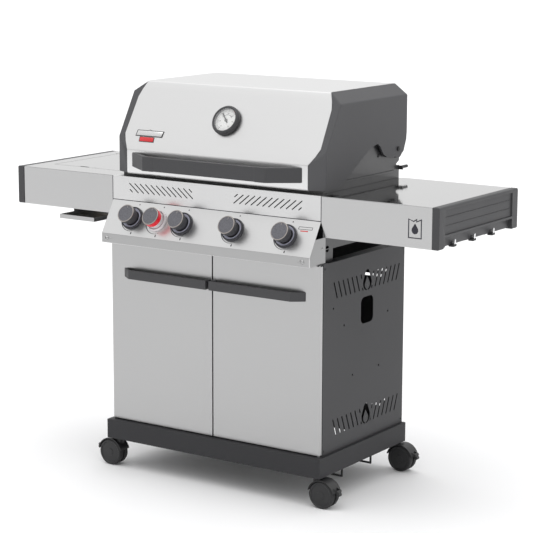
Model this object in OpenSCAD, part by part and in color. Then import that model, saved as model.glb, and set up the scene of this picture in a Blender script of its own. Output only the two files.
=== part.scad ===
// Gas barbecue grill on a closed cart: four main burners, a side burner under a flush
// cover, two side shelves, two doors and four swivelling twin-wheel casters.
// Working planes: x = 0 is the cart's middle, z = 0 the ground. Depths are measured from
// the front face of the shelves, and place() moves them so that the overall box is centred.

/* [Cart] */
// Width over the cabinet's side panels
cart_w = 712; // [600:1:900]
// Depth of the cabinet's side panels
cart_d = 429; // [380:1:560]
// Height of the cabinet, from the base to the top of its side panels
cabinet_h = 529; // [420:1:660]
// Height of the base
base_h = 55.5; // [40:0.5:80]
// How far the base stands out past each side panel
base_side = 11.5; // [4:0.5:30]
// How far the base stands out in front of the side panels
base_front = 32; // [24:1:60]
// Thickness of the cabinet's sheet steel
sheet = 1.5; // [1:0.1:2.5]
// Diameter of the opening for the gas bottle
bottle_d = 290; // [230:1:300]
// Width of the slanted air slits in the side panels
side_slit_w = 5.5; // [3:0.5:8]
// Height of the air slits in the back panel
back_slit_h = 8; // [4:0.5:12]
// Radius of the flame cut out of the side panels
flame_r = 23; // [18:0.5:26]

/* [Doors] */
// Gap between the two doors, and above and below them
door_gap = 3.5; // [2:0.5:6]
// Thickness of a door
door_t = 11; // [9:0.5:20]
// Height of a door handle's bar
door_handle_h = 26; // [18:1:40]
// How far a door handle's front face stands off the door
door_handle_off = 26; // [24:1:50]

/* [Control panel] */
// Height of the slotted front panel
vent_h = 68.5; // [60:0.5:90]
// Height of the leaning face
tilt_drop = 90; // [80:1:120]
// How far the leaning face comes forward
tilt_run = 54; // [30:1:70]
// Height of the upright lip
lip_h = 27.5; // [20:0.5:40]

/* [Knobs] */
// Distance of the outer knobs from the ends of the control panel
knob_margin = 92.5; // [60:0.5:110]
// Diameter of a knob
knob_d = 53; // [36:1:56]
// Height of a knob's face above the panel
knob_h = 40; // [32:1:50]
// Diameter of the bezel behind a knob
bezel_d = 68; // [60:1:74]
// How far a knob is pressed in before it turns
knob_press = 4; // [2:0.5:5]

/* [Lid] */
// Gap between the lid and the front panel
lid_gap = 6; // [3:0.5:12]
// How far the lid's side castings stand in from the cabinet's sides
lid_inset = 6; // [4:0.5:20]
// Height of the lid's upright front face
lid_face_h = 71; // [50:1:100]
// Height of the lid's leaning face
lid_slope_h = 187; // [140:1:240]
// Depth of the lid's leaning face
lid_slope_d = 108; // [60:1:140]
// Depth of the lid's flat top
lid_top_d = 338; // [300:1:460]
// Wall of the side castings
casting_t = 6; // [4:0.5:8]
// Diameter of the thermometer's bezel
thermo_d = 86; // [60:1:100]
// How far the lid handle's front face stands off the lid
lid_handle_off = 58; // [44:1:80]
// Height of the lid handle's bar
lid_handle_h = 41; // [28:1:50]

/* [Firebox] */
// Wall of the firebox
firebox_t = 3; // [2:0.5:5]
// Diameter of a burner tube
burner_d = 26; // [20:1:34]
// Gap between two bars of a cooking grate
grate_gap = 12; // [8:1:16]

/* [Shelves] */
// Length of a shelf's steel part
shelf_l = 336.5; // [280:0.5:420]
// Depth of a shelf
shelf_d = 435; // [380:1:520]
// Height of a shelf's front
shelf_h = 110; // [90:1:130]
// Thickness of a shelf's end cap
cap_t = 21.5; // [16:0.5:30]
// Height of the recessed strip along a cap's foot, with the hooks
hook_zone = 36; // [24:1:50]
// Length of the side burner's cover
cover_l = 238; // [200:1:260]
// Depth of the side burner's cover
cover_d = 300; // [240:1:320]

/* [Casters] */
// Diameter of a caster's wheels
wheel_d = 76; // [60:1:100]
// Width of one of a caster's two wheels
wheel_w = 15; // [10:0.5:20]
// Distance of the wheels' axle from the swivel pin
trail = 21; // [14:0.5:30]

/* [Hidden] */
$fn = 48;

// Fits between pieces
run_fit = 0.05;      // radial clearance of a pin that turns or slides
slip = 0.3;          // gap between two pieces that move past each other
seam = 0.8;          // gap between the lid's steel and its castings
side_gap = 6;        // gap between the firebox and the lid's side castings

// Cabinet
hw = cart_w / 2;
panel_hw = hw - 4;
base_plate = 2;
pin_end = 5;
hood_room = 9.5;
base_z = wheel_d + hood_room;
base_top = base_z + base_h;
cab_top = base_top + cabinet_h;
side_y0 = 9.5;
side_y1 = side_y0 + cart_d;
base_y0 = side_y0 - base_front;
base_y1 = side_y1 + 3;
side_mid = (side_y0 + side_y1) / 2;
rail_y0 = -12;
rail_y1 = 30;
rail_h = 18;
rail_t = 2;
post_hw = 11;
post_d = 20;
bottle_x = hw - 21 - bottle_d / 2;
wire_d = 6;
wire_drop = 33;
wire_half = 77;

// Doors
door_back_y = side_y0 - 3.5;
door_front_y = door_back_y - door_t;
door_z0 = base_top + door_gap;
door_z1 = cab_top - door_gap;
door_skin = 1.5;
door_pin_r = 4;
door_pin_x = hw - 5.5;
door_pin_y = (door_front_y + door_back_y) / 2;
door_handle_z = cab_top - 90;
door_bar_t = 7;

// Front of the cart: slotted panel over a leaning control panel with an upright lip
lip_z = cab_top;
tilt_z = lip_z + lip_h;
vent_z = tilt_z + tilt_drop;
shelf_z = vent_z + vent_h;
tilt_a = atan2(tilt_run, tilt_drop);
tilt_len = norm([tilt_run, tilt_drop]);
cheek_h = 72;
cheek_y1 = 24;
slot_w = 3;
slot_n = 11;
slot_pitch = 19.1;
slot_rise = 25;
slot_run = 31;
slot_x0 = 292;
slot_z0 = vent_h - 43.5;

// Knobs and gas valves, numbered from the left; the first feeds the side burner
knob_pitch = (panel_hw - knob_margin) / 3;
knob_steps = [-3, -2, -1, 1, 3];
knob_s = tilt_len / 2;
stem_r = 4;
stem_hole_r = 6;
bezel_h = 9;
bezel_floor = 2;
knob_r = knob_d / 2;
knob_foot = bezel_floor + knob_press + 1;
valve_r = 12;
valve_in = 8;
valve_out = 40;
pipe_r = 8;
pipe_h = 44;
spud_r = 4;
inlet_r = 5;
inlet_l = 26;
valve_mid = 25;

// Lid
lid_hw = hw - lid_inset;
lid_z = shelf_z + lid_gap;
lid_y = 7;
crease_z = lid_z + lid_face_h;
lid_top = crease_z + lid_slope_h;
slope_top_y = lid_y + lid_slope_d;
lid_back_y = slope_top_y + lid_top_d;
slope_a = atan2(lid_slope_d, lid_slope_h);
slope_len = norm([lid_slope_d, lid_slope_h]);
skin_t = 1.5;
bevel_w = 42;
bevel_h = 30;
corner_w = 45;
corner_d = 20;
steel_top_x = lid_hw - bevel_w;
steel_wide_x = lid_hw - 20;
steel_low_x = lid_hw - corner_w;
hinge_y = lid_back_y - 50;
hinge_z = crease_z + 8;
hinge_r = 4;
lid_edge_z = lid_z + 4;
back_edge_z = hinge_z + 22;
thermo_x = 5;
thermo_s = slope_len / 2;
thermo_h = 16;
badge_s = slope_len - 45;
badge_x = steel_low_x - 62;
lid_bar_t = 14;
lid_handle_z = lid_z + 43;
bar_hw = lid_hw - 180;

// Firebox
fb_hw = lid_hw - casting_t - side_gap;
fb_in = fb_hw - firebox_t;
fb_y0 = 33;
fb_y1 = hinge_y + 27;
fb_z0 = cab_top + 33;
fb_front_top = lid_z + 12;
fb_back_top = lid_z + 4;
grate_z = shelf_z - 8;
grate_h = 12;
cover_z = fb_z0 + 72;
ledge = 14;
burner_z = fb_z0 + 30;
burner_r = burner_d / 2;
burner_x = [for (i = [0:3]) (i - 1.5) * fb_in / 2];
tray_hw = 170;
tray_z = cab_top + 6;
tray_h = 20;
tray_t = 1.2;
stop_r = 4.5;
stop_l = 32;
stop_z = hinge_z - (lid_back_y - hinge_y) - stop_r - 0.7;
plate_top = hinge_z + 46;
rack_y0 = hinge_y - 141;
rack_y1 = hinge_y - 11;

// Shelves
shelf_x0 = panel_hw;
shelf_x1 = shelf_x0 + shelf_l;
cap_x1 = shelf_x1 + cap_t;
cover_x = shelf_x0 + shelf_l / 2;
cover_gap = 2;
cover_behind_middle = 16.5;
cover_y0 = (shelf_d - cover_d) / 2 + cover_behind_middle;
cover_y1 = cover_y0 + cover_d;
cover_t = 2;
roll_r = 3;
roll_y = cover_y1 - roll_r;
roll_z = shelf_z - roll_r;
pan_deep = 46;
chute_x = cover_x - 46;
chute_hw = 66;
chute_y0 = 48;
chute_y1 = 190;
drip_hw = chute_hw - sheet - slip;
drip_z = shelf_z - shelf_h - 29;
drip_h = 12;
drip_y0 = -17;
hook_y = [for (i = [0:2]) 88 + i * 107.5];
side_pipe_z = shelf_z - 91;

// Casters: the swivel pins stand in bosses inside the base
wheel_r = wheel_d / 2;
hub_gap = 4.5;
tread_y = hub_gap + wheel_w;
fender_r = wheel_r + 4.5;
fender_in = wheel_r + 1.5;
fender_z = wheel_r + 10;
axle_r = 4;
swivel_r = 5;
swivel_l = 28;
caster_x = hw - 11;
caster_yf = base_y0 + 28;
caster_yr = base_y1 - 14;
pedal_x = fender_r + 3;
pedal_z = 14.5;
pedal_r = 4.5;
pedal_hw = 6.5;
pedal_pin_r = 2;

// Overall depth, for the origin: from the knobs' faces to the lid's stop pins
knob_face_y = -tilt_run * knob_s / tilt_len - knob_h * cos(tilt_a) - (knob_r - 2.5) * sin(tilt_a);
y_mid = (knob_face_y + fb_y1 + stop_l) / 2;

// Colours
steel = [0.80, 0.80, 0.79];
grey = [0.35, 0.35, 0.36];
black = [0.09, 0.09, 0.10];
iron = [0.16, 0.16, 0.17];
brass = [0.72, 0.58, 0.30];

module place() { translate([0, -y_mid, 0]) children(); }

// Extrudes a front view (x, z) along y, a side view (y, z) along x, a plan (x, y) along z
module along_y(y0, y1) { translate([0, y1, 0]) rotate([90, 0, 0]) linear_extrude(y1 - y0) children(); }
module along_x(x0, x1) { translate([x0, 0, 0]) rotate([90, 0, 90]) linear_extrude(x1 - x0) children(); }
module along_z(z0, z1) { translate([0, 0, z0]) linear_extrude(z1 - z0) children(); }
module block(a, b) { translate(a) cube(b - a); }
module rod_x(x0, x1, y, z, r) { translate([x0, y, z]) rotate([0, 90, 0]) cylinder(h = x1 - x0, r = r); }
module rod_y(x, y0, y1, z, r) { translate([x, y1, z]) rotate([90, 0, 0]) cylinder(h = y1 - y0, r = r); }
module rod_z(x, y, z0, z1, r) { translate([x, y, z0]) cylinder(h = z1 - z0, r = r); }
module on_side(left) { mirror([left ? 1 : 0, 0, 0]) children(); }
module on_tilt(x, s) {
    translate([x, -tilt_run * s / tilt_len, vent_z - tilt_drop * s / tilt_len])
        rotate([90 - tilt_a, 0, 0]) children();
}
module on_slope(x, s) {
    translate([x, slope_top_y - lid_slope_d * s / slope_len, lid_top - lid_slope_h * s / slope_len])
        rotate([90 - slope_a, 0, 0]) children();
}
function arc(c, r, a0, a1, n) =
    [for (i = [0:n]) c + r * [cos(a0 + (a1 - a0) * i / n), sin(a0 + (a1 - a0) * i / n)]];
module slot(a, b, w) {
    t = atan2(b[1] - a[1], b[0] - a[0]);
    polygon(concat(arc(b, w / 2, t - 90, t + 90, 4), arc(a, w / 2, t + 90, t + 270, 4)));
}

// ---------------------------------------------------------------- base and casters
module base_frame() {
    color(grey) difference() {
        union() {
            difference() {
                block([-hw - base_side, base_y0, base_z], [hw + base_side, base_y1, base_top]);
                block([-hw - base_side + base_plate, base_y0 + base_plate, base_z - 1],
                      [hw + base_side - base_plate, base_y1 - base_plate, base_top - base_plate]);
            }
            for (x = [-caster_x, caster_x], y = [caster_yf, caster_yr])
                rod_z(x, y, base_z, base_top - 1, 11);
        }
        for (x = [-caster_x, caster_x], y = [caster_yf, caster_yr])
            rod_z(x, y, base_z - 1, base_z + swivel_l + 2, swivel_r + run_fit);
        for (x = [-door_pin_x, door_pin_x])
            rod_z(x, door_pin_y, base_top - pin_end - 2, base_top + 1, door_pin_r + run_fit);
        rod_z(bottle_x, side_mid, base_top - base_plate - 1, base_top + 1, bottle_d / 2);
    }
}
module bottle_cradle() {
    x0 = bottle_x - bottle_d / 2 - 8;
    x1 = bottle_x + bottle_d / 2 + 8;
    z0 = base_z - wire_drop;
    z1 = base_top - base_plate;
    color(black) for (s = [-1, 1]) {
        y = side_mid - 14 + s * wire_half;
        rod_x(x0, x1, y, z0, wire_d / 2);
        for (x = [x0, x1]) {
            rod_z(x, y, z0, z1, wire_d / 2);
            translate([x, y, z0]) sphere(d = wire_d);
        }
    }
}
module caster_place(left, rear) {
    translate([left ? -caster_x : caster_x, rear ? caster_yr : caster_yf, 0])
        on_side(left) children();
}
module caster_hood() {
    color(black) difference() {
        union() {
            intersection() {
                translate([trail, 0, 0]) difference() {
                    rod_y(0, -tread_y - 0.5, tread_y + 0.5, wheel_r, fender_r);
                    rod_y(0, -tread_y - 1, tread_y + 1, wheel_r, fender_in);
                }
                block([trail - 60, -30, fender_z], [trail + 60, 30, base_z]);
            }
            translate([trail, 0, 0]) {
                rod_y(0, -3.5, 3.5, wheel_r, wheel_r - 4);
                intersection() {
                    rod_y(0, -3.5, 3.5, wheel_r, fender_r - 0.5);
                    block([-60, -4, fender_z], [60, 4, base_z]);
                }
            }
            difference() {
                rod_z(0, 0, fender_z + 14, base_z - 0.5, 12);
                translate([trail, 0, 0]) rod_y(0, -30, 30, wheel_r, fender_in + 0.5);
            }
            rod_z(0, 0, base_z - 3.5, base_z - 0.5, 15);
            rod_z(0, 0, base_z - 1, base_z + swivel_l, swivel_r);
            for (y = [-1, 1])
                along_y(y > 0 ? pedal_hw + slip : -pedal_hw - slip - 3,
                        y > 0 ? pedal_hw + slip + 3 : -pedal_hw - slip)
                    pedal_ear();
        }
        translate([trail, 0, 0]) {
            rod_y(0, -10, 10, wheel_r, axle_r + run_fit);
            rod_y(pedal_x, -20, 20, wheel_r + pedal_z, pedal_pin_r + run_fit);
        }
    }
}
module pedal_ear() {
    translate([trail, wheel_r]) {
        translate([pedal_x, pedal_z]) circle(r = pedal_r);
        polygon([[pedal_x, pedal_z - pedal_r], [pedal_x, pedal_z + pedal_r],
                 [pedal_x - 11.5, 24], [pedal_x - 6, 11]]);
    }
}
module caster_wheels() {
    color(black) translate([trail, 0, 0]) {
        for (s = [-1, 1]) translate([0, s * hub_gap, wheel_r]) rotate([s * -90, 0, 0])
            rotate_extrude() polygon([[0, 0], [wheel_r - 1, 0], [wheel_r, 1], [wheel_r, wheel_w - 3],
                [wheel_r - 3, wheel_w], [wheel_r - 7, wheel_w], [wheel_r - 8, wheel_w - 1.2],
                [12, wheel_w - 1.2], [11, wheel_w], [0, wheel_w]]);
        rod_y(0, -hub_gap - 1, hub_gap + 1, wheel_r, axle_r);
    }
}
module caster_pedal() {
    color(black) translate([trail, 0, 0]) {
        along_y(-pedal_hw, pedal_hw) translate([0, wheel_r]) {
            translate([pedal_x, pedal_z]) circle(r = pedal_r);
            polygon([[pedal_x, pedal_z + pedal_r], [pedal_x + 4, pedal_z + 2], [pedal_x + 8, 5],
                     [pedal_x + 5, 1.5], [pedal_x - 0.5, 4], [pedal_x - 4, pedal_z - 2]]);
        }
        rod_y(pedal_x, -pedal_hw - slip - 3, pedal_hw + slip + 3, wheel_r + pedal_z, pedal_pin_r);
    }
}

// ---------------------------------------------------------------- cabinet
// Side view of one vent: leaning slots on both sides of a flame-shaped opening
module vent_slots(yc, zc) {
    for (s = [-1, 1], i = [0:5]) {
        y = 50 + i * 23;
        slot([yc + s * (y - 8), zc - 21], [yc + s * (y + 8), zc + 21], side_slit_w);
    }
    for (s = [-1, 1]) {
        slot([yc + s * 23, zc - 22], [yc + s * 25, zc - 18], side_slit_w);
        slot([yc + s * 31, zc + 12], [yc + s * 34, zc + 21], side_slit_w);
    }
    difference() {
        translate([yc, zc + 3]) polygon(concat(arc([0, -7], flame_r, 170, 370, 19),
                                               arc([0, 18], flame_r / 2, 20, 160, 7)));
        translate([yc, zc - 6]) flame(flame_r - 10);
        translate([yc - 2.5, zc - 30]) square([5, 14]);
    }
}
module flame(r) {
    polygon(concat(arc([0, -r * 0.3], r, 156, 384, 19), [[r * 0.3, r * 0.95], [-r * 0.1, r * 1.5]]));
}
module hand_hole(yc, zc, w, h, r) {
    x = w / 2 - r;
    y = h / 2 - r;
    translate([yc, zc]) polygon(concat(arc([x, y], r, 0, 90, 5), arc([-x, y], r, 90, 180, 5),
        arc([-x, -y], r, 180, 270, 5), arc([x, -y], r, 270, 360, 5)));
}
module cabinet_side() {
    color(grey) difference() {
        union() {
            block([hw - sheet, side_y0, base_top], [hw, side_y1, cab_top]);
            block([hw - 22, side_y0, base_top], [hw, side_y0 + sheet, cab_top]);
            block([fb_hw - 14, side_y0, cab_top - sheet], [hw, side_y1, cab_top]);
        }
        along_x(hw - sheet - 1, hw + 1) {
            vent_slots(side_mid + 12, cab_top - 79);
            vent_slots(side_mid + 12, base_top + 68);
            hand_hole(side_mid + 12, cab_top - 160, 66, 75, 16);
            for (p = [[-163, -128], [-108, -184], [125, -184], [78, -332], [-62, -332]])
                translate([side_mid + p[0], cab_top + p[1]]) circle(r = 3.2);
        }
    }
}
module cabinet_back() {
    color(grey) difference() {
        block([-hw + sheet, side_y1 - sheet, base_top], [hw - sheet, side_y1, cab_top - sheet]);
        along_y(side_y1 - 5, side_y1 + 1) {
            for (z = [cab_top - 105, base_top + 41]) {
                for (i = [-2:2]) slot([i * hw / 3 - 44, z], [i * hw / 3 + 44, z], back_slit_h);
                for (s = [-1, 1]) slot([s * (hw - 86), z + 18], [s * (hw - 60), z + 18], back_slit_h);
            }
        }
    }
}
module front_frame() {
    color(grey) difference() {
        union() {
            block([-hw, rail_y0, cab_top], [hw, rail_y1, cab_top + rail_t]);
            block([-panel_hw + 2, rail_y0, cab_top], [panel_hw - 2, rail_y0 + sheet, cab_top + rail_h]);
            block([-panel_hw + 2, rail_y0, cab_top + rail_h - sheet],
                  [panel_hw - 2, rail_y1, cab_top + rail_h]);
            difference() {
                block([-post_hw, side_y0, base_top], [post_hw, side_y0 + post_d, cab_top + 0.5]);
                block([-post_hw + sheet, side_y0 + sheet, base_top - 1],
                      [post_hw - sheet, side_y0 + post_d + 1, cab_top - 1]);
            }
            for (s = [-1, 1])
                block([s * 7.5 - 2.5, door_front_y + door_skin + slip, cab_top - 45],
                      [s * 7.5 + 2.5, side_y0 + 0.5, cab_top - 25]);
        }
        for (x = [-door_pin_x, door_pin_x])
            rod_z(x, door_pin_y, cab_top - 1, cab_top + rail_t + 1, door_pin_r + run_fit);
    }
}

// ---------------------------------------------------------------- doors
module door() {
    color(steel) {
        difference() {
            block([door_gap / 2, door_front_y, door_z0], [hw, door_back_y, door_z1]);
            block([door_gap / 2 + door_skin, door_front_y + door_skin, door_z0 + door_skin],
                  [hw - door_skin, door_back_y + 1, door_z1 - door_skin]);
        }
        for (z = [door_z0, door_z1 - 14])
            block([door_pin_x - 9, door_front_y + 0.5, z], [hw - 0.5, door_back_y, z + 14]);
        rod_z(door_pin_x, door_pin_y, base_top - pin_end, door_z0 + 1, door_pin_r);
        rod_z(door_pin_x, door_pin_y, door_z1 - 1, cab_top + rail_t, door_pin_r);
    }
}
module door_handle() {
    y0 = door_front_y - door_handle_off;
    y1 = y0 + door_bar_t;
    x1 = hw - 80;
    color(grey) along_z(door_handle_z - door_handle_h / 2, door_handle_z + door_handle_h / 2)
        polygon([[5, y0], [x1, y0], [x1 + 34, door_front_y], [x1 + 22, door_front_y],
                 [x1 - 4, y1], [17, y1], [17, door_front_y], [5, door_front_y]]);
}

// ---------------------------------------------------------------- front panels and knobs
module vent_panel() {
    color(steel) difference() {
        union() {
            block([-panel_hw, 0, vent_z], [panel_hw, sheet, shelf_z]);
            block([-panel_hw, 0, shelf_z - sheet], [panel_hw, fb_y0, shelf_z]);
        }
        along_y(-1, sheet + 1) for (s = [-1, 1]) {
            for (i = [0:slot_n - 1]) {
                x = slot_x0 - i * slot_pitch;
                slot([s * x, vent_z + slot_z0 + slot_rise],
                     [s * (x - slot_run), vent_z + slot_z0], slot_w);
            }
            slot([s * (slot_x0 - 2), vent_z + slot_z0 + 7],
                 [s * (slot_x0 - 10), vent_z + slot_z0 + 0.5], slot_w);
            slot([s * (slot_x0 - slot_n * slot_pitch), vent_z + slot_z0 + slot_rise],
                 [s * (slot_x0 - slot_n * slot_pitch - 9), vent_z + slot_z0 + slot_rise - 7.3],
                 slot_w);
        }
    }
}
module control_panel() {
    t = sheet;
    ta = t / cos(tilt_a);
    zi = tilt_z - tilt_drop * (ta - t) / tilt_run;
    cheek_y = -tilt_run + tilt_run * (cheek_h - lip_h) / tilt_drop;
    color(steel) difference() {
        union() {
            along_x(-panel_hw, panel_hw)
                polygon([[0, vent_z], [-tilt_run, tilt_z], [-tilt_run, lip_z], [rail_y0, lip_z],
                         [rail_y0, lip_z + t], [-tilt_run + t, lip_z + t], [-tilt_run + t, zi],
                         [ta, vent_z]]);
            for (x = [-panel_hw, panel_hw - t]) along_x(x, x + t)
                polygon([[-tilt_run + 0.3, lip_z], [rail_y0 - 1, lip_z],
                         [rail_y0 - 1, lip_z + rail_t + slip], [cheek_y1, lip_z + rail_t + slip],
                         [cheek_y1, lip_z + cheek_h], [cheek_y + 0.3, lip_z + cheek_h],
                         [-tilt_run + 0.3, tilt_z]]);
        }
        for (k = knob_steps) on_tilt(k * knob_pitch, knob_s)
            translate([0, 0, -10]) cylinder(h = 20, r = stem_hole_r);
    }
}
module knob_bezels() {
    color(black) for (k = knob_steps) on_tilt(k * knob_pitch, knob_s) rotate_extrude()
        polygon([[stem_hole_r, 0], [bezel_d / 2, 0], [bezel_d / 2, 4], [bezel_d / 2 - 3, bezel_h],
                 [knob_r + 2, bezel_h], [knob_r + 1.5, bezel_floor], [stem_hole_r, bezel_floor]]);
}
module knob_stem(k) {
    color(brass) on_tilt(k * knob_pitch, knob_s) difference() {
        translate([0, 0, -valve_mid]) cylinder(h = valve_mid + knob_h - 8 - knob_press, r = stem_r);
        translate([-5, 2.6, knob_foot - knob_press - 0.5]) cube([10, 5, knob_h]);
    }
}
module knob(k) {
    color(grey) on_tilt(k * knob_pitch, knob_s) difference() {
        rotate_extrude() polygon([[0, knob_foot], [knob_r - 1, knob_foot], [knob_r, knob_foot + 1],
            [knob_r, knob_h - 2.5], [knob_r - 2.5, knob_h], [0, knob_h]]);
        translate([0, 0, knob_foot - 1]) difference() {
            cylinder(h = knob_h - 8 - knob_foot + 1.5, r = stem_r + run_fit);
            translate([-6, 2.75, -1]) cube([12, 6, knob_h]);
        }
    }
}
// Gas rail with its five valves, the jets of the main burners and the side burner's pipe
module gas_manifold() {
    v_y = -tilt_run * knob_s / tilt_len + valve_mid * cos(tilt_a);
    v_z = vent_z - tilt_drop * knob_s / tilt_len - valve_mid * sin(tilt_a);
    color(brass) {
        difference() {
            union() {
                for (k = knob_steps) on_tilt(k * knob_pitch, knob_s) {
                    translate([0, 0, -valve_out]) cylinder(h = valve_out - valve_in, r = valve_r);
                    translate([0, 0, -valve_in - 1]) cylinder(h = valve_in + 1 - sheet, r = 9);
                }
                on_tilt(0, knob_s) translate([0, 0, -pipe_h])
                    rod_x(-3 * knob_pitch - 20, 3 * knob_pitch + 30, 0, 0, pipe_r);
                on_tilt(0, knob_s) translate([0, 0, -pipe_h])
                    rod_x(3 * knob_pitch + 29, 3 * knob_pitch + 30 + inlet_l, 0, 0, inlet_r);
                for (i = [1:4]) rod_y(knob_steps[i] * knob_pitch, v_y, fb_y0 - 10, v_z, spud_r);
                x1 = -3 * knob_pitch;
                rod_y(x1, v_y, 20, v_z, spud_r);
                translate([x1, 20, v_z]) sphere(r = spud_r);
                rod_z(x1, 20, v_z, side_pipe_z, spud_r);
                translate([x1, 20, side_pipe_z]) sphere(r = spud_r);
                rod_x(-cover_x, x1, 20, side_pipe_z, spud_r);
                translate([-cover_x, 20, side_pipe_z]) sphere(r = spud_r);
                rod_y(-cover_x, 20, cover_y0 + cover_d / 2, side_pipe_z, spud_r);
                translate([-cover_x, cover_y0 + cover_d / 2, side_pipe_z]) sphere(r = spud_r);
                rod_z(-cover_x, cover_y0 + cover_d / 2, side_pipe_z, shelf_z - pan_deep, spud_r);
            }
            for (k = knob_steps) on_tilt(k * knob_pitch, knob_s)
                translate([0, 0, -valve_mid - 1]) cylinder(h = valve_mid + 10, r = stem_r + run_fit);
        }
    }
}

// ---------------------------------------------------------------- firebox
module firebox() {
    v_z = vent_z - tilt_drop * knob_s / tilt_len - valve_mid * sin(tilt_a);
    color(grey) difference() {
        union() {
            block([-fb_hw, fb_y0, fb_z0], [fb_hw, fb_y0 + firebox_t, fb_front_top]);
            block([-fb_hw, fb_y1 - firebox_t, fb_z0], [fb_hw, fb_y1, fb_back_top]);
            block([-fb_hw, fb_y0, fb_z0], [fb_hw, fb_y1, fb_z0 + firebox_t]);
            for (z = [grate_z, cover_z])
                block([-fb_hw, fb_y0, z - 2], [fb_hw, fb_y0 + firebox_t + ledge, z]);
            for (z = [grate_z, cover_z])
                block([-fb_hw, fb_y1 - firebox_t - ledge, z - 2], [fb_hw, fb_y1, z]);
            for (s = [false, true]) on_side(s) firebox_side();
        }
        block([-tray_hw + 40, fb_y0 + 60, fb_z0 - 1], [tray_hw - 40, fb_y1 - 60, fb_z0 + 4]);
        for (i = [1:4]) rod_y(knob_steps[i] * knob_pitch, fb_y0 - 1, fb_y0 + 4, v_z, 11);
        for (x = burner_x) rod_y(x, fb_y1 - 4, fb_y1 + 1, burner_z, 4 + run_fit);
        for (x = [-fb_hw, fb_hw]) rod_x(x - 5, x + 5, hinge_y, hinge_z, hinge_r + run_fit);
    }
}
module firebox_side() {
    difference() {
        along_x(fb_in, fb_hw)
            polygon([[fb_y0, cab_top], [fb_y0 + 50, cab_top], [fb_y0 + 50, fb_z0],
                     [fb_y1 - 50, fb_z0], [fb_y1 - 50, cab_top], [fb_y1, cab_top],
                     [fb_y1, stop_z + stop_r + 1.6], [hinge_y + 12, stop_z + stop_r + 2],
                     [hinge_y + 12, hinge_z - 44], [fb_y1, hinge_z - 36],
                     [fb_y1, hinge_z - 2], [fb_y1 - 2, hinge_z + 31], [fb_y1 - 30, plate_top],
                     [hinge_y - 175, plate_top], [hinge_y - 315, fb_front_top + 15],
                     [fb_y0, fb_front_top + 10]]);
        rod_x(fb_in - 1, fb_hw + 1, fb_y0 + 22, fb_z0 + 2, 9);
        for (y = [-165, -129]) rod_x(fb_in - 1, fb_hw + 1, hinge_y + y, fb_front_top + 3, 3);
    }
    block([fb_in, fb_y0 + 15, fb_front_top + 2], [fb_hw + 3.5, fb_y1 - 30, fb_front_top + 6]);
    block([fb_in, fb_y1 - firebox_t, grate_z - 8], [fb_hw, fb_y1, stop_z + stop_r]);
    block([fb_in, fb_y1 - firebox_t, stop_z - stop_r - 2], [shelf_x0, fb_y1, stop_z + stop_r]);
    for (y = [fb_y0 + 30, fb_y1 - 100])
        block([fb_in, y, shelf_z - 90], [shelf_x0, y + 30, shelf_z - 40]);
    along_y(fb_y0 + 8, fb_y1 - 8)
        polygon([[tray_hw - 12, tray_z - 2], [tray_hw + 3, tray_z - 2], [tray_hw + 3, fb_z0 + 1],
                 [tray_hw + 1.2, fb_z0 + 1], [tray_hw + 1.2, tray_z - slip], [tray_hw - 12, tray_z - slip]]);
}
module burners() {
    v_z = vent_z - tilt_drop * knob_s / tilt_len - valve_mid * sin(tilt_a);
    y_in = fb_y0 + 34;
    color(steel) for (i = [0:3]) {
        kx = knob_steps[i + 1] * knob_pitch;
        difference() {
            union() {
                rod_y(kx, fb_y0 - 13, y_in, v_z, 10);
                translate([kx, y_in, v_z]) sphere(r = 10);
                if (abs(kx - burner_x[i]) > 1)
                    rod_x(min(kx, burner_x[i]), max(kx, burner_x[i]), y_in, v_z, 10);
                translate([burner_x[i], y_in, v_z]) sphere(r = 10);
                rod_y(burner_x[i], y_in - 4, fb_y1 - 30, burner_z, burner_r);
                rod_y(burner_x[i], fb_y1 - 31, fb_y1 + 1, burner_z, 4);
            }
            rod_y(kx, fb_y0 - 17, fb_y0 + 20, v_z, 8);
        }
    }
}
module flame_covers() {
    y0 = fb_y0 + firebox_t + 1.5;
    y1 = fb_y1 - firebox_t - 1.5;
    w = fb_in / 4 - 18;
    color(steel) for (x = burner_x) along_y(y0, y1) translate([x, cover_z])
        polygon([[-w, 0], [0, w * 0.6], [w, 0], [w - 2.5, 0], [0, w * 0.6 - 2], [2.5 - w, 0]]);
}
module cooking_grates() {
    y0 = fb_y0 + firebox_t + 2;
    y1 = fb_y1 - firebox_t - 2;
    gw = fb_in - 4;
    n = floor(gw / (grate_gap + 6));
    color(iron) for (s = [-1, 1]) {
        x0 = s > 0 ? 1.5 : -gw;
        for (i = [0:n]) {
            x = x0 + 3 + i * (gw - 7.5) / n;
            block([x - 2.5, y0 + 1, grate_z + 3], [x + 2.5, y1 - 1, grate_z + grate_h]);
        }
        for (y = [y0, (y0 + y1) / 2 - 4, y1 - 8])
            block([x0, y, grate_z], [x0 + gw - 1.5, y + 8, grate_z + 8]);
    }
}
module warming_rack() {
    n = 15;
    color(steel) {
        for (y = [rack_y0, rack_y1]) rod_x(-fb_hw + 0.5, fb_hw - 0.5, y, plate_top + 3, 3);
        for (i = [0:n]) {
            x = (fb_in - 12) * (2 * i / n - 1);
            rod_y(x, rack_y0, rack_y1, plate_top + 3, 1.8);
        }
    }
}
module grease_tray() {
    y0 = fb_y0 + 8;
    y1 = fb_y1 + 6;
    color(steel) {
        difference() {
            block([-tray_hw, y0, tray_z], [tray_hw, y1, tray_z + tray_h]);
            block([-tray_hw + tray_t, y0 + tray_t, tray_z + tray_t],
                  [tray_hw - tray_t, y1 - tray_t, tray_z + tray_h + 1]);
        }
        block([-50, y1 - tray_t, tray_z + tray_h - 3], [50, y1 + 14, tray_z + tray_h - 1.5]);
    }
}

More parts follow.
